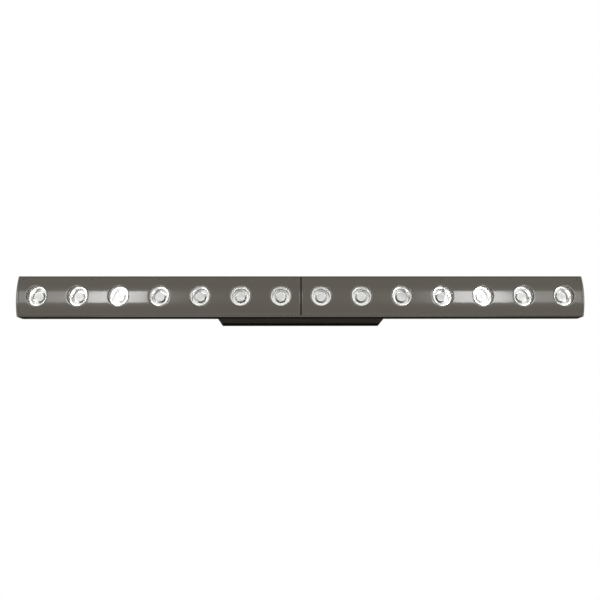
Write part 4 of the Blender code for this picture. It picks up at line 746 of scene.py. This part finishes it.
def rod(radius, start, end, segments=48, end_radius=None):
    """A cylinder or cone between two points."""
    start, end = Vector(start), Vector(end)
    bpy.ops.mesh.primitive_cone_add(
        vertices=segments,
        radius1=radius,
        radius2=radius if end_radius is None else end_radius,
        depth=(end - start).length,
        location=(start + end) / 2,
        rotation=(end - start).to_track_quat("Z", "Y").to_euler(),
    )
    bpy.ops.object.transform_apply()
    return bpy.context.object


def block(name, low, high):
    """A plain box between two corners, in object mode."""
    made = start_box(name, low, high)
    switch("OBJECT")
    return made


box_low, box_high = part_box("driver_housing")
box_wall = 0.0025
box_floor = box_low.y + 0.003
box_corner = 0.0015
box_edge = 0.0004
pillar_wide = 0.01
pillar_inset = 0.001
pillar_short = 0.0002
overlap = 0.001
axis_y, axis_z = 0, mid_z
tilt_radius = 0.0043


def corner_pillars(low, high, start_y, end_y):
    """Four square pillars in the corners of a box, as one tool."""
    pillars = []
    for x in (low.x + pillar_inset, high.x - pillar_inset - pillar_wide):
        for z in (low.z + pillar_inset, high.z - pillar_inset - pillar_wide):
            pillars.append(block("pillar", (x, start_y, z), (x + pillar_wide, end_y, z + pillar_wide)))
    return join(pillars)


box = start_box("driver_box", box_low, box_high)
pick_faces(box, lambda at, facing: facing.y > 0.9)
bpy.ops.mesh.inset(thickness=box_wall)
push(y=box_floor - box_high.y)
round_along_y(box, box_low, box_high, box_corner, 4)
switch("OBJECT")
change_with(box, corner_pillars(box_low, box_high, box_floor - overlap, box_high.y - pillar_short), "UNION")
beside = 0.01
left, right = (box_low.x - beside, axis_y, axis_z), (box_high.x + beside, axis_y, axis_z)
change_with(box, rod(tilt_radius, left, right))
round_edges(box, box_edge)
box_brown = finish("box brown", (0.057, 0.044, 0.031), 0.48, 0.0011, 0.00006)
put_down(box, box_brown, "light", "box_paint", "driver_housing")


# Four pan head screws inside the box hold it to the ribs of the bar. They are zinc plated and
# out of sight, and keep the CAD solids.
zinc = finish("zinc", (0.55, 0.56, 0.55), 0.32, 0.0006, 0.000006, metallic=1)
dress(zinc, *["driver_housing_screw_%d" % number for number in range(1, 5)])


# A rubber grommet seals the hole between the box and the bar, and two leads in red sleeves run
# through it to the boards. Both keep the CAD solids.
grommet_rubber = finish("grommet rubber", (0.016, 0.016, 0.016), 0.7, 0.0008, 0.00003, 0.15)
dress(grommet_rubber, "cable_grommet")
lead_red = finish("lead red", (0.3, 0.016, 0.014), 0.45, 0.0007, 0.00001)
dress(lead_red, "led_lead_left", "led_lead_right")


# The supply is a closed can of zinc plated steel on the front wall of the box. It is out of
# sight, and keeps the CAD solid.
supply_zinc = finish("supply zinc", (0.5, 0.52, 0.52), 0.38, 0.004, 0.00001, 0.15, metallic=1)
dress(supply_zinc, "power_supply")


# A flat gasket, cut from a sheet of black rubber, lies between the box and its cover. The long
# screws of the cover clamp it. It keeps the CAD solid.
gasket_rubber = finish("gasket rubber", (0.013, 0.013, 0.013), 0.8, 0.0007, 0.00002, 0.15)
dress(gasket_rubber, "cover_seal")


# The rear cover is a second die casting, textured black. Its face has openings for the sockets,
# the fuse, the safety eye and the menu, and four sunk holes for its long screws.
def middle_of(name):
    """The middle of the box of a CAD node."""
    low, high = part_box(name)
    return (low + high) / 2


def bore(radius, x, z, start_y, end_y, segments=48, end_radius=None):
    """A rod that runs along Y."""
    return rod(radius, (x, start_y, z), (x, end_y, z), segments, end_radius)


cover_low, cover_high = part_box("rear_cover")
cover_plate = cover_high.y - 0.003
cover_edge = 0.00045
overrun = 0.002
before, past = cover_plate - overrun, cover_high.y + overrun
play = 0.0003
barrel_radius = 0.0118
button_radius = 0.0045
fuse_radius = 0.006
eye_wire = 0.0025
window_lip = 0.003
bore_radius = 0.0023
sink_foot = 0.0022
sink_top = 0.0041
sink_depth = 0.0026
socket_names = ("power_inlet", "power_outlet", "dmx_input", "dmx_output")
socket_x = {name: sum(corner.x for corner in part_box(name)) / 2 for name in socket_names}
button_names = ("button_menu", "button_down", "button_up", "button_enter")
button_middle = {name: middle_of(name) for name in button_names}
fuse_x = middle_of("fuse_holder").x
eye_low, eye_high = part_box("safety_eye")
window_low, window_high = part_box("display_window")
latch_low, latch_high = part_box("output_latch")
cover_screws = [middle_of("rear_cover_screw_%d" % number) for number in range(1, 5)]
cover = start_box("rear_cover_casting", cover_low, cover_high)
pick_faces(cover, lambda at, facing: facing.y < -0.9)
bpy.ops.mesh.inset(thickness=box_wall)
push(y=cover_plate - cover_low.y)
round_along_y(cover, cover_low, cover_high, box_corner, 4)
switch("OBJECT")
pillars = corner_pillars(cover_low, cover_high, cover_low.y + pillar_short, cover_plate + overlap)
change_with(cover, pillars, "UNION")
holes = [(barrel_radius, x, mid_z, 64) for x in socket_x.values()]
holes += [(button_radius, middle.x, middle.z, 48) for middle in button_middle.values()]
holes += [(fuse_radius, fuse_x, mid_z, 48)]
holes += [(eye_wire, x, mid_z, 32) for x in (eye_low.x + eye_wire, eye_high.x - eye_wire)]
tools = [bore(radius + play, x, z, before, past, points) for radius, x, z, points in holes]
low = (window_low.x + window_lip, before, window_low.z + window_lip)
high = (window_high.x - window_lip, past, window_high.z - window_lip)
tools.append(block("display_opening", low, high))
for middle in cover_screws:
    tools.append(bore(bore_radius, middle.x, middle.z, cover_low.y - overlap, past, 32))
change_with(cover, join(tools))
tools = []
for name, (low, high), floor_y in (
    ("window_seat", (window_low, window_high), window_low.y - play),
    ("latch_slot", (latch_low, latch_high), before),
):
    corner = (low.x - play, floor_y, low.z - play)
    tools.append(block(name, corner, (high.x + play, past, high.z + play)))
for middle in cover_screws:
    wide = sink_top + (sink_top - sink_foot) / sink_depth * overrun
    tools.append(bore(sink_foot, middle.x, middle.z, cover_high.y - sink_depth, past, 32, wide))
change_with(cover, join(tools))
round_edges(cover, cover_edge)
cover_black = finish("cover black", (0.005, 0.005, 0.0053), 0.6, 0.0011, 0.00006, 0.14, specular=0.12)
put_down(cover, cover_black, "light", "cover_paint", "rear_cover")


# Four long countersunk screws run through the pillars of the cover into the box. They are black
# oxidised steel with a hexagon socket.
long_head = [(0, 0.0038), (-0.0002, 0.0038), (-0.0023, 0.002)]
long_shank = [(-0.0498, 0.002), (-0.05, 0.0017)]
screw = hex_screw(long_head + long_shank, 32, 0.0017, 0.002)
long_black = finish("long screw black", (0.034, 0.032, 0.03), 0.33, 0.0004, 0.00001, 0.15, metallic=0.8)
for number, middle in enumerate(cover_screws, start=1):
    place = (middle.x, cover_high.y - play, middle.z)
    name = "rear_cover_screw_%d" % number
    long_screw = copy_to(screw, name + "_socket_head", place, (0, 1, 0))
    put_down(long_screw, long_black, "light", "black_screw_steel", name)
discard(screw)


# The menu's circuit board stands on posts of the cover, with its switches and the display on
# it. Both are seen only through the window, and keep the CAD solids.
board_green = finish("board green", (0.012, 0.09, 0.035), 0.35, 0.0006, 0.000006, coat=0.4)
dress(board_green, "control_board")
display_dark = finish("display dark", (0.006, 0.012, 0.03), 0.12, 0.002, 0.000001, 0.05)
dress(display_dark, "display_module")


# The window is a plate of smoked clear acrylic. It is cut to size, its edges are broken, and it is
# glued into a seat in the cover, so the display shows through it.
window_edge = 0.0003
window = block("display_window_plate", window_low, window_high)
round_edges(window, window_edge)
smoked = clear_plastic("smoked acrylic", (0.22, 0.23, 0.26), 0.85, 0.03, 0.12)
put_down(window, smoked, "light", "window_acrylic", "display_window")


# Four round push buttons of dark grey silicone stand through the cover, each with a slightly
# domed crown and a flange behind the cover that keeps it in.
button_low, button_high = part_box("button_menu")
button_top = button_high.y
button_flange = 0.0058
button_stem = 0.0018
flange_top = cover_plate - play
flange_rear = flange_top - 0.0012
button_profile = [
    (button_top - 0.00002, 0.0012),
    (button_top - 0.00008, 0.0026),
    (button_top - 0.00028, 0.0037),
    (button_top - 0.0006, 0.0042),
    (button_top - 0.0011, 0.00445),
    (button_top - 0.0016, button_radius),
    (flange_top, button_radius),
    (flange_top, button_flange),
    (flange_rear, button_flange),
    (flange_rear, button_stem),
    (button_low.y, button_stem),
]
button = lathe(button_profile, 48)
button_grey = finish("button grey", (0.09, 0.09, 0.092), 0.62, 0.0006, 0.00002, 0.12)
for name, middle in button_middle.items():
    cap = copy_to(button, name + "_cap", (middle.x, 0, middle.z), (0, 1, 0))
    put_down(cap, button_grey, name, "button_rubber", name)
discard(button)


# The four round sockets are moulded housings with a square flange that two screws hold. The
# power inlet is blue, the power outlet grey, and both signal sockets are black.
flange_wide = 0.026
flange_high = 0.031
flange_thick = 0.0022
flange_corner = 0.003
socket_edge = 0.00035
socket_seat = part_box("power_inlet")[1].y - 0.0015 - flange_thick
socket_face = socket_seat + flange_thick
barrel_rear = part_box("power_inlet")[0].y
hollow_radius = 0.0094
hollow_floor = socket_face - 0.014
over = socket_face + 0.003
insert_radius = 0.0074
pin_hole_floor = socket_face - 0.008
slot_drop = 0.0018
key_radius = 0.0011
key_start = hollow_floor + 0.006
pin_circle = 0.0056
pin_radius = 0.0012
pin_turns = [math.pi / 2 + 2 * math.pi * step / 3 for step in range(3)]
pin_steps = [(pin_circle * math.cos(turn), pin_circle * math.sin(turn)) for turn in pin_turns]
pin = lathe([(0.009, 0.0005), (0.0088, 0.0009), (0.0083, pin_radius), (0, pin_radius)], 20)
screw_steps = ((0.0096, 0.0121), (-0.0096, -0.0121))
pan_radius = 0.0026
pan_head = [(0.0015, 0.0012), (0.00143, 0.0018), (0.0011, 0.0024), (0.0007, pan_radius), (0, pan_radius)]
screw = lathe(pan_head + [(0, 0.00115), (-0.007, 0.00115)], 24)
for spin in (0, math.pi / 2):
    bpy.ops.mesh.primitive_cube_add(
        size=1, location=(0, 0, 0.0014), scale=(pan_radius, 0.0005, 0.0014), rotation=(0, 0, spin)
    )
    change_with(screw, bpy.context.object)
inlet_blue = finish("inlet blue", (0.012, 0.035, 0.24), 0.36, 0.0005, 0.00001, 0.08)
outlet_grey = finish("outlet grey", (0.3, 0.3, 0.3), 0.38, 0.0005, 0.00001, 0.06)
socket_black = finish("socket black", (0.016, 0.016, 0.016), 0.38, 0.0005, 0.00001, 0.12)
pin_nickel = finish("pin nickel", (0.62, 0.58, 0.5), 0.25, 0.0005, 0.000003, 0.08, metallic=1)
screw_zinc = finish("flange screw zinc", (0.5, 0.5, 0.5), 0.3, 0.0004, 0.000005, 0.12, metallic=1)
for name, material, slot, key_angles in (
    ("power_inlet", inlet_blue, "inlet_plastic", (45, 165, 285)),
    ("power_outlet", outlet_grey, "outlet_plastic", (45, 165, 285)),
    ("dmx_input", socket_black, "socket_plastic", (270,)),
    ("dmx_output", socket_black, "socket_plastic", ()),
):
    x = socket_x[name]
    low = (x - flange_wide / 2, socket_seat, mid_z - flange_high / 2)
    high = (x + flange_wide / 2, socket_face, mid_z + flange_high / 2)
    shell = start_box(name + "_body", low, high)
    round_along_y(shell, low, high, flange_corner, 6)
    switch("OBJECT")
    change_with(shell, bore(barrel_radius, x, mid_z, barrel_rear, socket_seat + overlap, 64), "UNION")
    hollow = bore(hollow_radius, x, mid_z, hollow_floor, over, 64)
    tools = []
    if key_angles:
        for turn in (math.radians(angle) for angle in key_angles):
            key_x, key_z = x + hollow_radius * math.cos(turn), mid_z + hollow_radius * math.sin(turn)
            tools.append(bore(key_radius, key_x, key_z, key_start, over, 16))
        for number, (dx, dz) in enumerate(pin_steps, start=1):
            place = (x + dx, hollow_floor, mid_z + dz)
            contact = copy_to(pin, name + "_pin_%d" % number, place, (0, 1, 0))
            put_down(contact, pin_nickel, "light", "latch_metal")
    else:
        change_with(hollow, bore(insert_radius, x, mid_z, hollow_floor - overlap, over + overlap, 64))
        for dx, dz in pin_steps:
            tools.append(bore(pin_radius + play, x + dx, mid_z + dz, pin_hole_floor, over, 20))
        corner = (latch_low.x - play, latch_low.y - slot_drop, latch_low.z - play)
        tools.append(block("slot", corner, (latch_high.x + play, over, latch_high.z + play)))
    change_with(shell, hollow)
    change_with(shell, join(tools))
    round_edges(shell, socket_edge)
    put_down(shell, material, "light", slot, name)
    for number, (dx, dz) in enumerate(screw_steps, start=1):
        place = (x + dx, socket_face, mid_z + dz)
        flange_screw = copy_to(screw, name + "_screw_%d" % number, place, (0, 1, 0))
        put_down(flange_screw, screw_zinc, "light", "screw_steel")
discard(pin, screw)


# The push tab above the signal output frees a plug. It is nickel plated, with three grooves
# across its end for the thumb.
latch_edge = 0.0005
groove_pitch = 0.0011
groove_half = 0.0002
groove_depth = 0.00025
groove_inset = 0.0009
latch = block("output_latch_tab", latch_low, latch_high)
round_edges(latch, latch_edge, 3)
grooves = []
for step in (-1, 0, 1):
    z = (latch_low.z + latch_high.z) / 2 + step * groove_pitch
    low = (latch_low.x + groove_inset, latch_high.y - groove_depth, z - groove_half)
    high = (latch_high.x - groove_inset, latch_high.y + overlap, z + groove_half)
    grooves.append(block("groove", low, high))
change_with(latch, join(grooves))
latch_nickel = finish("latch nickel", (0.5, 0.49, 0.46), 0.28, 0.0005, 0.000004, metallic=1)
put_down(latch, latch_nickel, "output_latch", "latch_metal", "output_latch")


# The fuse carrier is a black moulded cup behind a round flange. A dark red bayonet cap with a
# knurled rim and a slot for a coin closes it.
fuse_face = socket_seat + 0.0018
fuse_place = (fuse_x, fuse_face, mid_z)
carrier_wide = 0.009
carrier_profile = [
    (-0.0086, 0.004),
    (-0.0002, 0.004),
    (0, 0.0042),
    (0, 0.0086),
    (-0.0001, 0.0089),
    (-0.0004, carrier_wide),
    (-0.0018, carrier_wide),
    (-0.0018, fuse_radius),
    (-0.0257, fuse_radius),
    (-0.026, 0.0057),
]
carrier = lathe(carrier_profile, 64)
fuse_carrier = copy_to(carrier, "fuse_carrier", fuse_place, (0, 1, 0))
discard(carrier)
fuse_black = finish("fuse black", (0.017, 0.017, 0.017), 0.42, 0.0005, 0.00001, 0.12)
put_down(fuse_carrier, fuse_black, "light", "socket_plastic", "fuse_holder")
cap_top = play + 0.0065
cap_radius = 0.007
plug_radius = 0.0037
flute_count = 24
flute_circle = 0.00725
flute_radius = 0.0005
slot_half = 0.0008
slot_depth = 0.0018
cap_profile = [
    (cap_top - 0.0001, 0.0056),
    (cap_top, 0.0059),
    (cap_top - 0.0001, 0.0064),
    (cap_top - 0.0005, 0.0069),
    (cap_top - 0.0009, cap_radius),
    (play + 0.0002, cap_radius),
    (play, 0.0068),
    (play, plug_radius),
    (-0.008, plug_radius),
]
cap = lathe(cap_profile, 96)
flutes = []
for step in range(flute_count):
    turn = 2 * math.pi * step / flute_count
    x, y = flute_circle * math.cos(turn), flute_circle * math.sin(turn)
    flutes.append(rod(flute_radius, (x, y, play + 0.0008), (x, y, cap_top + overlap), 12))
change_with(cap, join(flutes))
low = (-0.009, -slot_half, cap_top - slot_depth)
change_with(cap, block("coin_slot", low, (0.009, slot_half, cap_top + overlap)))
fuse_cap = copy_to(cap, "fuse_cap_knob", fuse_place, (0, 1, 0))
discard(cap)
fuse_red = finish("fuse red", (0.21, 0.02, 0.014), 0.4, 0.0005, 0.00001)
put_down(fuse_cap, fuse_red, "fuse_cap", "fuse_cap_plastic", "fuse_cap")


# The safety eye is a steel rod, bent to a U and nickel plated. Its two legs run through the cover
# and are held behind it.
eye_half = (eye_high.x - eye_low.x) / 2 - eye_wire
eye_bend_y = eye_high.y - eye_wire - eye_half
eye_leg = (eye_high.x - eye_wire, eye_low.y, mid_z)
bpy.ops.mesh.primitive_circle_add(
    vertices=32, radius=eye_wire, fill_type="NGON", rotation=(math.pi / 2, 0, 0), location=eye_leg
)
eye = bpy.context.object
eye.name = "safety_eye_rod"
bpy.ops.object.transform_apply()
switch("EDIT")
bpy.ops.mesh.select_mode(type="FACE")
bpy.ops.mesh.select_all(action="SELECT")
push(y=eye_bend_y - eye_low.y)
bend_middle = (eye_leg[0] - eye_half, eye_bend_y, mid_z)
bpy.ops.mesh.spin(steps=32, angle=math.pi, center=bend_middle, axis=(0, 0, -1))
push(y=eye_low.y - eye_bend_y)
close_up()
eye_plate = finish("eye plate", (0.55, 0.55, 0.54), 0.22, 0.0007, 0.000006, metallic=1)
put_down(eye, eye_plate, "light", "eye_steel", "safety_eye")


# Two friction washers are pressed from brake fibre. One lies between each side of the box and the
# yoke, and the stud of the knob runs through it.
washer_radius = 0.012
washer_rim = 0.0118
washer_thick = 0.0012
washer_profile = [
    (0, tilt_radius),
    (0, washer_rim),
    (0.0002, washer_radius),
    (0.001, washer_radius),
    (washer_thick, washer_rim),
    (washer_thick, tilt_radius),
    (0, tilt_radius),
]
washer = lathe(washer_profile, 72, capped=False)
washer_fibre = finish("washer fibre", (0.055, 0.05, 0.042), 0.8, 0.0005, 0.00004, 0.2)
for hand, name in ((-1, "friction_washer_left"), (1, "friction_washer_right")):
    place = (hand * (box_high.x + play), axis_y, axis_z)
    disc = copy_to(washer, name + "_disc", place, (hand, 0, 0))
    put_down(disc, washer_fibre, "light", "washer_fibre", name)
discard(washer)


# The yoke is one strip of steel, 28 by 4 mm, bent to a U and painted a textured black. Its
# crossbar has a hole for a clamp and two for wall bolts, and its arms turn on the knobs' studs.
yoke_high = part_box("yoke")[1]
strip_thick = 0.004
strip_half = 0.014
strip_edge = 0.0005
bend_radius = 0.009
bend_x = yoke_high.x - bend_radius
bend_y = yoke_high.y - bend_radius
wall_hole_x = 0.06
wall_hole_radius = 0.0045
clamp_hole_radius = 0.0065
strip = start_box(
    "yoke_strip",
    (0, yoke_high.y - strip_thick, mid_z - strip_half),
    (bend_x, yoke_high.y, mid_z + strip_half),
)
pick_faces(strip, lambda at, facing: facing.x > 0.9)
bpy.ops.mesh.spin(steps=16, angle=math.pi / 2, center=(bend_x, bend_y, mid_z), axis=(0, 0, 1))
push(y=-bend_y - strip_half)
for top in (1, -1):
    pick_edges(strip, lambda at: at.y < near - strip_half and top * (at.z - mid_z) > strip_half - near)
    bpy.ops.mesh.bevel(offset=strip_half - 0.00005, segments=24)
pick_faces(strip, lambda at, facing: facing.x < -0.9 and abs(at.x) < near)
bpy.ops.mesh.delete(type="FACE")
close_up()
change(strip, "MIRROR", use_clip=True, merge_threshold=near)
tools = []
for hand in (-1, 1):
    inner, outer = hand * (yoke_high.x - 0.01), hand * (yoke_high.x + 0.005)
    tools.append(rod(tilt_radius, (inner, axis_y, axis_z), (outer, axis_y, axis_z)))
for x, radius in ((-wall_hole_x, wall_hole_radius), (0, clamp_hole_radius), (wall_hole_x, wall_hole_radius)):
    tools.append(bore(radius, x, mid_z, yoke_high.y - 0.01, yoke_high.y + 0.005))
change_with(strip, join(tools))
round_edges(strip, strip_edge, 3)
yoke_black = finish("yoke black", (0.017, 0.017, 0.017), 0.5, 0.001, 0.00005, 0.15)
put_down(strip, yoke_black, "yoke", "yoke_paint", "yoke")


# Two hand knobs with seven lobes clamp the yoke. Each is black glass filled plastic, moulded on a
# zinc plated stud that runs through the yoke and the washer into the box.
knob_radius = 0.016
knob_edge = 0.0005
collar_radius = 0.0105
collar_high = 0.003
crown = collar_high + 0.013
lobe_count = 7
scallop_circle = 0.0237
scallop_radius = 0.009
stud_radius = 0.004
knob_profile = [
    (0, 0.0098),
    (0.0003, collar_radius),
    (collar_high, collar_radius),
    (collar_high, 0.0146),
    (collar_high + 0.0004, 0.0156),
    (collar_high + 0.0014, knob_radius),
    (crown - 0.0028, knob_radius),
    (crown - 0.0009, 0.0152),
    (crown - 0.0002, 0.0136),
    (crown, 0.0118),
    (crown - 0.0001, 0.0084),
    (crown - 0.0007, 0.0078),
    (crown - 0.0009, 0.0074),
]
knob = lathe(knob_profile, 112)
knob_black = finish("knob black", (0.014, 0.014, 0.015), 0.46, 0.0007, 0.00003, 0.14)
stud = lathe([(0.0045, stud_radius), (-0.0154, stud_radius), (-0.0158, 0.0036)], 40)
stud_zinc = finish("stud zinc", (0.5, 0.51, 0.5), 0.3, 0.0005, 0.000006, 0.12, metallic=1)
seat_x = yoke_high.x + play
for hand, name in ((-1, "tilt_knob_left"), (1, "tilt_knob_right")):
    place = (hand * seat_x, axis_y, axis_z)
    grip = copy_to(knob, name + "_grip", place, (hand, 0, 0))
    inner, outer = hand * (seat_x - overlap), hand * (seat_x + 0.02)
    tools = []
    for step in range(lobe_count):
        turn = 2 * math.pi * (step + 0.5) / lobe_count
        y, z = scallop_circle * math.cos(turn), axis_z + scallop_circle * math.sin(turn)
        tools.append(rod(scallop_radius, (inner, y, z), (outer, y, z), 64))
    change_with(grip, join(tools))
    round_edges(grip, knob_edge, 3, 35)
    put_down(grip, knob_black, name, "knob_plastic", name)
    threaded = copy_to(stud, name + "_stud", place, (hand, 0, 0))
    put_down(threaded, stud_zinc, name, "screw_steel")
discard(knob, stud)
